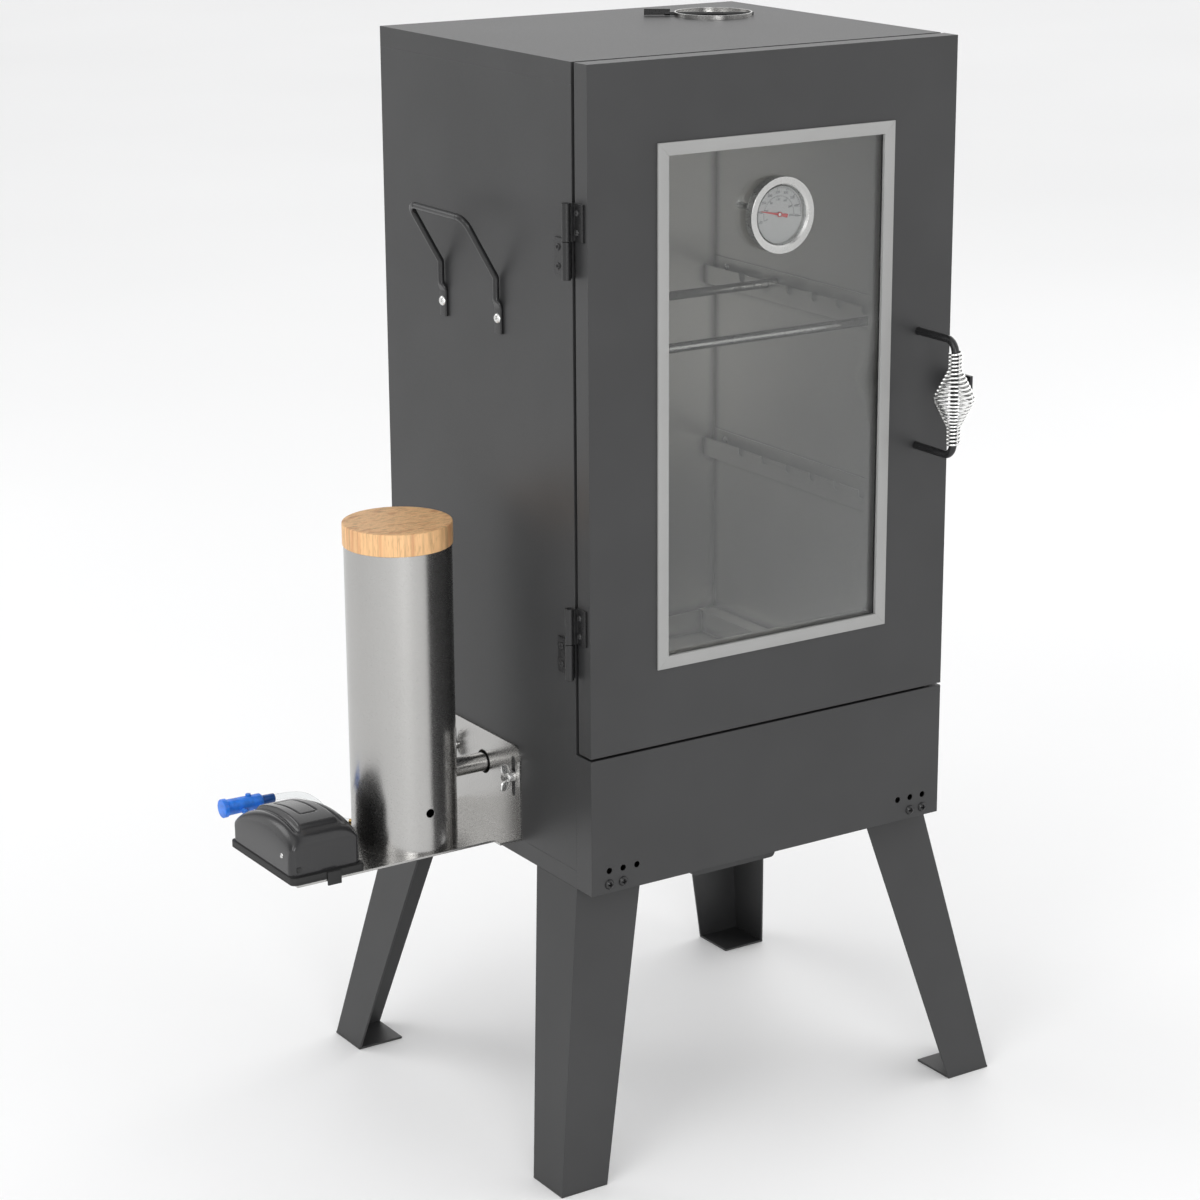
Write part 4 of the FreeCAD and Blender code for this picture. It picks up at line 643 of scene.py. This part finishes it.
class SMOKER_OT_handle_grip(bpy.types.Operator):
    """Wind the handle's grip: a close coil at both ends that swells to a double cone"""

    bl_idname = "smoker.handle_grip"
    bl_label = "Coil grip"

    def execute(self, context):
        """The wire's middle line is a helix of even pitch. Its radius is the slim one for the
        outer part of each half, and grows in proportion over the inner part, the cone, towards
        the middle. The last turn at each end closes in on the rod."""
        sizes = context.scene.smoker_sizes
        wire = sizes.grip_wire / 2
        low, high = span("handle_grip")
        centre = (low + high) / 2
        wide = (high[0] - low[0]) / 2 - wire
        slim, closed = 7.4 * MM - wire, 4.8 * MM
        cone, last_turn = 0.62, 0.035
        turn = np.linspace(0, 1, sizes.grip_turns * 32 + 1)
        height = low[2] + wire + turn * (high[2] - low[2] - 2 * wire)
        off = np.abs(2 * turn - 1)
        swell = np.clip(1 - off / cone, 0, 1)
        swell = swell ** 1.02 * (1 - 0.04 * np.exp(-(off / 0.05) ** 2))
        radius = slim + (wide - slim) * swell
        radius = radius - (slim - closed) * np.clip((off - (1 - last_turn)) / last_turn, 0, 1)
        angle = turn * sizes.grip_turns * 2 * math.pi
        out = np.stack([np.cos(angle), np.sin(angle), 0 * angle], 1)
        line = centre * (1 - Z) + radius[:, None] * out + height[:, None] * Z
        new_piece("coil_grip", [sweep(line, out, wire, steps=12)], "door", finishes()["spring_chrome"],
                  ["handle_grip"], 50)
        return {"FINISHED"}


class SMOKER_OT_carry_handles(bpy.types.Operator):
    """Bend the carry handles from round rod whose ends are pressed flat"""

    bl_idname = "smoker.carry_handles"
    bl_label = "Carry handles"

    def execute(self, context):
        """Each rod runs up its front foot, out, over and down the mirrored rear foot. Its
        section passes by an S-curve from the round rod to the flat foot."""
        sizes = context.scene.smoker_sizes
        low, high = span("carry_handles")
        wall = span("left_outer_panel")[0][0]
        other_wall = span("right_outer_panel")[1][0]
        rod = sizes.carry_rod
        foot_half = 5.5 * MM
        foot_top = low[2] + 28 * MM
        near = wall - rod - 1 * MM
        far = low[0] + rod
        front, back = low[1] + foot_half, high[1] - foot_half
        rise = low[2] + 51 * MM
        foot_thick = 1.5 * MM
        flat = wall - foot_thick
        foot = [(flat, front, low[2]), (flat, front, foot_top - 4 * MM), (near, front, foot_top + 3 * MM),
                (near, front, rise)]
        bend = (far, front, high[2] - rod)
        halfway = tuple((np.array(foot[-1]) + bend) / 2)
        half = np.concatenate([rounded([*foot, halfway], 4 * MM, 6)[:-1],
                               rounded([halfway, bend, (far, (front + back) / 2, high[2] - rod)],
                                       sizes.carry_bend, 12)])
        mirrored = half[::-1] * np.array([1, -1, 1]) + np.array([0, front + back, 0])
        line = np.concatenate([half, mirrored[1:]])
        steps = np.concatenate([[0], np.cumsum(np.linalg.norm(np.diff(line, axis=0), axis=1))])
        even = np.linspace(0, steps[-1], 420)
        line = np.stack([np.interp(even, steps, line[:, k]) for k in range(3)], 1)
        pressed = np.clip((foot_top + 5 * MM - line[:, 2]) / (7 * MM), 0, 1)
        pressed = pressed ** 2 * (3 - 2 * pressed)
        width = rod + (foot_half - rod) * pressed
        thick = rod + (foot_thick - rod) * pressed
        left = sweep(line, Y + X * 1e-3, width, thick, 2 + 5 * pressed, 20)
        right = (np.array([wall + other_wall, 0, 0]) + left[0] * np.array([-1, 1, 1]), left[1])
        new_piece("bent_carry_handles", [left, right], "cabinet", finishes()["black_steel"],
                  ["carry_handles"], 45)
        return {"FINISHED"}


def loose_pieces(node):
    """The separate solids of a CAD node, each as an array of its points."""
    shell = bmesh.new()
    shell.from_mesh(frame["nodes"][node].data)
    bmesh.ops.remove_doubles(shell, verts=shell.verts, dist=1e-6)
    left = set(shell.verts)
    found = []
    while left:
        queue = [left.pop()]
        members = []
        while queue:
            vertex = queue.pop()
            members.append(tuple(vertex.co))
            for edge in vertex.link_edges:
                other = edge.other_vert(vertex)
                if other in left:
                    left.remove(other)
                    queue.append(other)
        found.append(np.array(members))
    shell.free()
    return sorted(found, key=lambda points: tuple(points.mean(0).round(5)))


def screw_facts(points):
    """A turned screw's rim centre, axis into the work, head radius, dome height, shank radius and
    length, read from its solid."""
    size = points.max(0) - points.min(0)
    gaps = [abs(size[(k + 1) % 3] - size[(k + 2) % 3]) for k in range(3)]
    way = int(np.argmin(gaps))
    centre = (points.max(0) + points.min(0)) / 2
    along = points[:, way] - centre[way]
    off = np.linalg.norm(np.delete(points - centre, way, 1), axis=1)
    head = off.max()
    rim = along[off > 0.985 * head].mean()
    tip_high = off[along > along.max() - 1e-5].max()
    tip_low = off[along < along.min() + 1e-5].max()
    into = -1.0 if tip_high < tip_low else 1.0
    apex, foot = (along.max(), along.min()) if into < 0 else (along.min(), along.max())
    axis = np.eye(3)[way] * into
    shank = max(tip_high, tip_low)
    return centre + np.eye(3)[way] * rim, axis, head, abs(apex - rim), shank, abs(foot - rim)


def screw_surface(rim, axis, head, dome, shank, length, crossed=True):
    """A domed head with a cross recess, and its shank: the head's height over a grid of radius and
    angle is the dome's, less a cross whose walls slope to its middle."""
    steps = 48
    share = np.concatenate([np.linspace(0, 0.7, 12), np.linspace(0.78, 1, 6)])
    angle = np.arange(steps) * 2 * math.pi / steps
    radius = np.broadcast_to((share * head)[:, None], (len(share), steps))
    lift = dome * np.sqrt(np.clip(1 - 0.96 * share ** 2, 0, 1))[:, None] - dome * 0.2 * share[:, None] ** 6
    across = np.abs(radius * np.cos(angle))
    up = np.abs(radius * np.sin(angle))
    arm_width, arm_reach = 0.13 * head, 0.58 * head
    arm = np.minimum(across, up) / arm_width
    reach = np.maximum(across, up) / arm_reach
    hole = np.clip(1.4 - arm, 0, 1) * np.clip((1 - reach) * 2.2, 0, 1)
    height = lift - (0.75 * dome * hole if crossed else 0.0)
    side = np.array([axis[1], axis[2], axis[0]])
    other = np.cross(axis, side)
    ring = np.cos(angle)[:, None] * side + np.sin(angle)[:, None] * other
    top = rim - height[..., None] * axis + radius[..., None] * ring
    under = np.array([(head, 0), (shank, 0), (shank, length), (0, length)])
    body = rim + under[:, 1, None, None] * axis + under[:, 0, None, None] * ring
    return surface(np.concatenate([top, body]), wrap_columns=True)


class SMOKER_OT_screws(bpy.types.Operator):
    """Cut a cross recess in every screw head, leave the rail rivets plain and build the door's nuts"""

    bl_idname = "smoker.screws"
    bl_label = "Screws"

    def execute(self, context):
        inside = span("side_liners")
        plinth_top = span("plinth_panel")[1]
        front = span("plinth_panel")[0][1]
        hinge_back = span("hinge_body_leaves")[1][1]
        bright, dark = [], []
        for points in loose_pieces("screws"):
            facts = screw_facts(points)
            rim = facts[0]
            rivet = inside[0][0] < rim[0] < inside[1][0] and rim[1] < inside[1][1]
            on_plinth = abs(rim[1] - front) < 2 * MM and rim[2] < plinth_top[2]
            made = screw_surface(*facts, crossed=not (rivet and not on_plinth))
            on_hinge = rim[0] < inside[0][0] and rim[1] < hinge_back
            (dark if on_plinth or on_hinge else bright).append(made)
        slots = finishes()
        new_piece("bright_screws", bright, "cabinet", slots["bright_zinc"], ["screws"], 35)
        new_piece("dark_screws", dark, "cabinet", slots["black_steel"], ["screws"], 35)
        wall = span("door_skin")[0][0]
        door_screws, nuts = [], []
        for points in loose_pieces("door_fixings"):
            if points[:, 0].min() < wall:
                door_screws.append(screw_surface(*screw_facts(points)))
                continue
            low, high = points.min(0), points.max(0)
            radius = (high[2] - low[2]) / 2
            height = high[1] - low[1]
            bore = np.linalg.norm((points - (low + high) / 2)[:, [0, 2]], axis=1).min()
            nut = [(bore, 0), (radius, 0), (radius, height), (bore, height), (bore, 0)]
            nuts.append(lathe(nut, ((low + high) / 2) * (1 - Y) + low * Y, Y, 6))
        new_piece("door_hinge_screws", door_screws, "door", slots["black_steel"],
                  ["door_fixings"], 35)
        new_piece("door_nuts", nuts, "door", slots["bright_zinc"], ["door_fixings"], 25)
        return {"FINISHED"}


class SMOKER_OT_wing_nuts(bpy.types.Operator):
    """Shape the two wing nuts: a turned boss with two leaf-shaped ears"""

    bl_idname = "smoker.wing_nuts"
    bl_label = "Wing nuts"

    def execute(self, context):
        """An ear is a straight sweep that leans out from the boss: its half width is a sine's
        bulge over its length, closed by a round tip, and it thins towards the tip."""
        for node, body in (("wing_nut_front", "front_wing_nut"), ("wing_nut_rear", "rear_wing_nut")):
            low, high = span(node)
            base = np.array([high[0], (low[1] + high[1]) / 2, (low[2] + high[2]) / 2])
            bore, foot, top, tall = 3 * MM, 5.5 * MM, 4.4 * MM, 7 * MM
            boss = rounded([(bore, 0), (foot, 0), (top, tall), (bore, tall), (bore, 0)], 0.5 * MM, 3)
            parts = [lathe(boss, base, -X, 40)]
            reach = (high[2] - low[2]) / 2
            for s in (-1, 1):
                line = np.linspace(0, 1, 26)[:, None]
                start = base + np.array([-3.2 * MM, 0, s * 2.8 * MM])
                end = np.array([low[0] + 0.4 * MM, base[1], base[2] + s * (reach - 2.0 * MM)])
                bulge = np.sin(math.pi * np.clip(line[:, 0], 0, 1) ** 1.25)
                wide = (1.6 + 3.3 * bulge) * MM * np.sqrt(np.clip(1 - line[:, 0] ** 8, 0, 1)) + 0.05 * MM
                path = start + line * (end - start)
                thick = (1.25 - 0.35 * line[:, 0]) * MM
                parts.append(sweep(path, np.array([s * 0.7, 0, 0.7]), wide, thick, 2.6, 16))
            new_piece(node + "_shaped", parts, body, finishes()["bright_zinc"], [node], 45)
        return {"FINISHED"}


class SMOKER_OT_wood_lid(bpy.types.Operator):
    """Turn the generator's wooden lid, with softened rims and a spigot"""

    bl_idname = "smoker.wood_lid"
    bl_label = "Wood lid"

    def execute(self, context):
        edge = context.scene.smoker_sizes.lid_edge
        low, high = span("wood_lid")
        centre = (low + high) / 2
        radius = (high[0] - low[0]) / 2
        shoulder = span("generator_tube")[1][2]
        spigot_inset = 1.7 * MM
        spigot = (span("generator_tube")[1][0] - span("generator_tube")[0][0]) / 2 - spigot_inset
        rim = rounded([(0, high[2]), (radius, high[2]), (radius, shoulder), (spigot, shoulder),
                       (spigot, low[2]), (0, low[2])], edge, 5)
        face = np.stack([np.linspace(0.1, 0.9, 9) * radius, np.full(9, high[2])], 1)
        profile = np.concatenate([rim[:1], face, rim[1:]])
        base = centre * (1 - Z)
        new_piece("turned_lid", [lathe(profile, base, Z, 128)], "lid", finishes()["lid_wood"],
                  ["wood_lid"], 30)
        return {"FINISHED"}


def even_arch(power, half, height, count):
    """Places evenly spaced along an arch whose half width and height to that power add up to one,
    as shares of the half width and of the height."""
    angle = np.linspace(-math.pi / 2, math.pi / 2, 4001)
    across = np.sign(np.sin(angle)) * np.abs(np.sin(angle)) ** (2 / power)
    up = np.abs(np.cos(angle)) ** (2 / power)
    run = np.concatenate([[0], np.cumsum(np.hypot(np.diff(across) * half, np.diff(up) * height))])
    at = np.linspace(0, run[-1], count)
    return np.interp(at, run, across), np.interp(at, run, up)


def smooth_step(value):
    """0 below 0, 1 above 1, and an S-curve between them."""
    value = np.clip(value, 0, 1)
    return value * value * (3 - 2 * value)


class SMOKER_OT_air_pump(bpy.types.Operator):
    """Mould the air pump: a crowned shell with a raised panel, on a rubber foot"""

    bl_idname = "smoker.air_pump"
    bl_label = "Air pump"

    def execute(self, context):
        """The shell's height is a crown that varies along it, times a steep arch across it and
        one along it. A raised panel and a U-shaped groove are added where it is nearly level."""
        foot_low, foot_high = span("pump_base")
        low, high = span("pump_housing")
        rows, columns = 190, 170
        foot = foot_high[2]
        half = (high[0] - low[0]) / 2
        front = low[1]
        length = foot_high[1] - 2 * MM - front
        middle_x = (low[0] + high[0]) / 2
        middle_y = front + length / 2
        tall = high[2] - foot - 1.4 * MM
        across, fall_x = even_arch(5.0, half, tall, columns)
        along, fall_y = even_arch(11.0, length / 2, tall, rows)
        x = np.broadcast_to(across * half, (rows, columns))
        y = np.broadcast_to((along * length / 2)[:, None], (rows, columns))
        share = (along + 1) / 2
        crown = np.polyval(np.polyfit([0, 0.12, 0.4, 0.75, 1], [0.80, 0.92, 1, 0.84, 0.56], 4), share)
        rise = tall * crown[:, None] * fall_x * fall_y[:, None]
        place_y = (y + length / 2) / length
        panel_half = (21.5 - 5.0 * place_y) * MM
        panel = smooth_step((panel_half - np.abs(x)) / (2.2 * MM))
        panel = panel * smooth_step((place_y - 0.09) / 0.05) * smooth_step((0.93 - place_y) / 0.06)
        valley = np.exp(-((np.abs(x) - panel_half - 2.0 * MM) / (2.6 * MM)) ** 2)
        valley = valley * smooth_step((place_y - 0.05) / 0.1) * smooth_step((1 - place_y) / 0.1)
        groove_x = np.maximum(np.abs(x) - 6.5 * MM, 0)
        groove_y = np.maximum(np.abs(y) - 0.20 * length, 0)
        ring = np.abs(np.hypot(groove_x, groove_y) - 2.5 * MM)
        groove = np.exp(-(ring / (0.75 * MM)) ** 2) * (place_y < 0.80)
        panel_height, valley_depth, groove_depth = 2.4, 2.2, 0.9
        rise = rise + (panel_height * panel - valley_depth * valley - groove_depth * groove) * MM
        corner = 7 * MM
        over_x = np.maximum(np.abs(x) - (half - corner), 0)
        over_y = np.maximum(np.abs(y) - (length / 2 - corner), 0)
        reach = np.hypot(over_x, over_y)
        pull = np.where(reach > corner, corner / np.maximum(reach, 1e-9), 1.0)
        x = np.sign(x) * (np.minimum(np.abs(x), half - corner) + over_x * pull)
        y = np.sign(y) * (np.minimum(np.abs(y), length / 2 - corner) + over_y * pull)
        edge = (np.arange(rows) % (rows - 1) == 0)[:, None] | (np.arange(columns) % (columns - 1) == 0)
        rise = np.where(edge, 0, np.maximum(rise, 0))
        points = np.stack([middle_x + x, middle_y + y, foot + rise], 2)
        slots = finishes()
        new_piece("moulded_shell", [surface(points)], "cabinet", slots["pump_plastic"],
                  ["pump_housing"], 55)
        round_plan = 5 * MM
        tab_low = np.array([middle_x - 2 * MM, foot_low[1], foot_low[2]])
        pad_front = foot_low[1] + 2 * MM
        tab_high = np.array([middle_x + 12 * MM, pad_front, foot_high[2]])
        pad = slab([foot_low[0], pad_front, foot_high[2] - 7 * MM], foot_high, round_plan, 0.8 * MM)
        tab = slab(tab_low, tab_high, 0.6 * MM, 0.5 * MM)
        line = slab([foot_low[0], pad_front, foot_high[2] - 5.6 * MM],
                    [foot_high[0], foot_high[1], foot_high[2] - 4.4 * MM], round_plan, 0.5 * MM)
        new_piece("rubber_foot", [pad, tab, line], "cabinet", slots["seal_rubber"],
                  ["pump_base"], 40)
        return {"FINISHED"}


class SMOKER_OT_air_line(bpy.types.Operator):
    """Build the blue cross pipe, its two short hoses and the clear hose to the generator"""

    bl_idname = "smoker.air_line"
    bl_label = "Air line"

    def execute(self, context):
        sizes = context.scene.smoker_sizes
        slots = finishes()
        low, high = span("air_manifold")
        hoses = loose_pieces("link_hoses")
        flange, body, neck = 9 * MM, 7.8 * MM, 5.6 * MM
        pipe_y = high[1] - flange
        pipe_z = span("air_hose")[1][2] - sizes.hose_diameter / 2
        start = np.array([low[0], pipe_y, pipe_z])
        body_end = 42 * MM
        run = high[0] - low[0]
        profile = rounded([(0, 0), (flange, 0), (flange, 4.6 * MM), (body, 5.4 * MM),
                           (7.3 * MM, body_end - 2 * MM), (neck, body_end), (0, body_end)], 0.7 * MM, 4)
        parts = [lathe(profile, start, X, 56)]
        stub = 9.6 * MM
        vent = rounded([(0, 0), (3.1 * MM, 0), (2.6 * MM, stub), (0, stub)], 0.7 * MM, 4)
        middle_x = np.mean([p[:, 0].mean() for p in hoses])
        parts.append(lathe(vent, np.array([middle_x, pipe_y, pipe_z]), Z, 28))
        barb = [(0, 0), (2.6, 0), (2.6, 8), (2.9, 8.4), (2.1, 10.6), (2.0, 11.0), (2.7, 11.2), (1.9, 14.6),
                (0, 14.6)]
        barb = rounded(np.array(barb) * MM, 0.15 * MM, 2)
        for points in hoses:
            spot = np.array([points[:, 0].mean(), pipe_y, (points[:, 2].max() + points[:, 2].min()) / 2])
            parts.append(lathe(barb, spot, -Y, 28))
        new_piece("cross_pipe", parts, "cabinet", slots["blue_plastic"], ["air_manifold"],
                  35)
        sleeve_start = body_end - 3 * MM
        sleeve = rounded([(0, sleeve_start), (4.7 * MM, sleeve_start), (4.4 * MM, run - 0.2 * MM),
                          (3.2 * MM, run), (0, run)], 0.4 * MM, 3)
        new_piece("outlet_sleeve", [lathe(sleeve, start, X, 40)], "cabinet",
                  resin_finish("deep_blue", (0.006, 0.06, 0.24), 0.95), [], 35)
        links = []
        sag = 0.9 * MM
        t = np.linspace(0, 1, 40)
        drop = -sag * np.sin(math.pi * t) ** 2
        for points in hoses:
            front, back = points[:, 1].min(), points[:, 1].max()
            spot = np.array([points[:, 0].mean(), 0, (points[:, 2].max() + points[:, 2].min()) / 2])
            line = spot + (front + t * (back - front))[:, None] * Y + drop[:, None] * Z
            links.append(sweep(line, X, sizes.hose_diameter / 2, steps=24))
        new_piece("short_hoses", links, "cabinet", slots["clear_hose"], ["link_hoses"], 60)
        self.hose(sizes, slots)
        return {"FINISHED"}

    def hose(self, sizes, slots):
        """The clear hose: a smooth line that starts and ends on the route and is drawn to the
        points between."""
        curve = bpy.data.curves.new("air_hose_line", "CURVE")
        curve.dimensions = "3D"
        curve.bevel_depth = sizes.hose_diameter / 2
        curve.bevel_resolution = 6
        curve.use_fill_caps = True
        curve.resolution_u = 24
        spline = curve.splines.new("NURBS")
        spline.points.add(len(HOSE_ROUTE) - 1)
        for point, spot in zip(spline.points, HOSE_ROUTE):
            point.co = (*spot, 1)
        spline.order_u = 3
        spline.use_endpoint_u = True
        hose = place("clear_air_hose", curve, "cabinet", slots["clear_hose"], ["air_hose"])


class SMOKER_OT_stage(bpy.types.Operator):
    """Set the pale floor, the soft studio lights and the camera"""

    bl_idname = "smoker.stage"
    bl_label = "Stage"

    def execute(self, context):
        scene, settings = context.scene, context.scene.smoker_stage
        half = settings.floor_size
        side = np.linspace(-half, half, 13)
        x, y = np.meshgrid(side, side)
        clearance = 0.2 * MM
        points, faces = surface(np.stack([x, y, 0 * x - clearance], 2))
        mesh = bpy.data.meshes.new("floor")
        mesh.from_pydata(points.tolist(), [], faces.tolist())
        mesh.materials.append(finish("floor_paint", (0.92, 0.92, 0.92), 0.62, grain=60, depth=0.0002,
                                     contrast=0.015, patches=0.6))
        floor = bpy.data.objects.new("floor", mesh)
        scene.collection.objects.link(floor)
        self.sky(scene, settings.sky)
        for name, spot, size, power in LIGHTS:
            self.lamp(scene, name, spot, size, power)
        camera = bpy.data.objects.new("camera", bpy.data.cameras.new("camera"))
        camera.location = settings.camera_place
        camera.rotation_mode = "QUATERNION"
        camera.rotation_quaternion = Vector(settings.camera_aim).to_track_quat("-Z", "Y")
        camera.data.lens = settings.lens
        camera.data.sensor_width = 36
        camera.data.shift_x, camera.data.shift_y = settings.shift
        scene.collection.objects.link(camera)
        scene.camera = camera
        scene.view_settings.view_transform = "Standard"
        return {"FINISHED"}

    def sky(self, scene, strength):
        """White light with two soft darker bands that stand upright, as between studio screens."""
        world = bpy.data.worlds.new("studio")
        world.use_nodes = True
        tree = world.node_tree
        tree.nodes.clear()
        way = add(tree, "ShaderNodeTexCoord", {}).outputs["Generated"]
        across = add(tree, "ShaderNodeSeparateXYZ", {"Vector": way}).outputs["X"]
        white, grey, dark = (1.0, 1.0, 1.0), (0.55, 0.55, 0.56), (0.16, 0.16, 0.165)
        tone = shades(tree, between(tree, across, 0, 1, -1.0, 1.0),
                      [(0.0, white), (0.07, dark), (0.16, white), (0.30, white), (0.42, grey), (0.50, dark),
                       (0.57, grey), (0.68, white), (1.0, white)])
        light = add(tree, "ShaderNodeBackground", {"Color": tone, "Strength": strength})
        add(tree, "ShaderNodeOutputWorld", {"Surface": light.outputs[0]})
        scene.world = world

    def lamp(self, scene, name, spot, size, power):
        """A soft square lamp aimed at the cabinet's middle."""
        data = bpy.data.lights.new(name, "AREA")
        data.energy = power
        data.size = size
        lamp = bpy.data.objects.new(name, data)
        lamp.location = spot
        lamp.rotation_mode = "QUATERNION"
        lamp.rotation_quaternion = (Vector(LAMP_AIM) - Vector(spot)).to_track_quat("-Z", "Y")
        scene.collection.objects.link(lamp)


OPERATORS = [
    SMOKER_OT_stage,
    SMOKER_OT_finishes,
    SMOKER_OT_air_line,
    SMOKER_OT_window_trim,
    SMOKER_OT_thermometer,
    SMOKER_OT_handle_grip,
    SMOKER_OT_carry_handles,
    SMOKER_OT_screws,
    SMOKER_OT_wing_nuts,
    SMOKER_OT_wood_lid,
    SMOKER_OT_air_pump,
]


class SMOKER_PT_panel(bpy.types.Panel):
    """Lists the smoker's settings and the operators that build it"""

    bl_idname = "SMOKER_PT_panel"
    bl_label = "Cabinet smoker"
    bl_space_type = "VIEW_3D"
    bl_region_type = "UI"
    bl_category = "Smoker"

    def draw(self, context):
        for group in (context.scene.smoker_sizes, context.scene.smoker_colours, context.scene.smoker_stage):
            for name in group.__annotations__:
                self.layout.prop(group, name)
        for operator in OPERATORS:
            self.layout.operator(operator.bl_idname)


CLASSES = [SmokerSizes, SmokerColours, StageSettings, *OPERATORS, SMOKER_PT_panel]


def register():
    for made in CLASSES:
        bpy.utils.register_class(made)
    bpy.types.Scene.smoker_sizes = bpy.props.PointerProperty(type=SmokerSizes)
    bpy.types.Scene.smoker_colours = bpy.props.PointerProperty(type=SmokerColours)
    bpy.types.Scene.smoker_stage = bpy.props.PointerProperty(type=StageSettings)


def unregister():
    del bpy.types.Scene.smoker_sizes
    del bpy.types.Scene.smoker_colours
    del bpy.types.Scene.smoker_stage
    for made in reversed(CLASSES):
        bpy.utils.unregister_class(made)


def main():
    """Builds everything in order."""
    register()
    for operator in OPERATORS:
        group, name = operator.bl_idname.split(".")
        getattr(getattr(bpy.ops, group), name)()


if __name__ == "__main__":
    main()
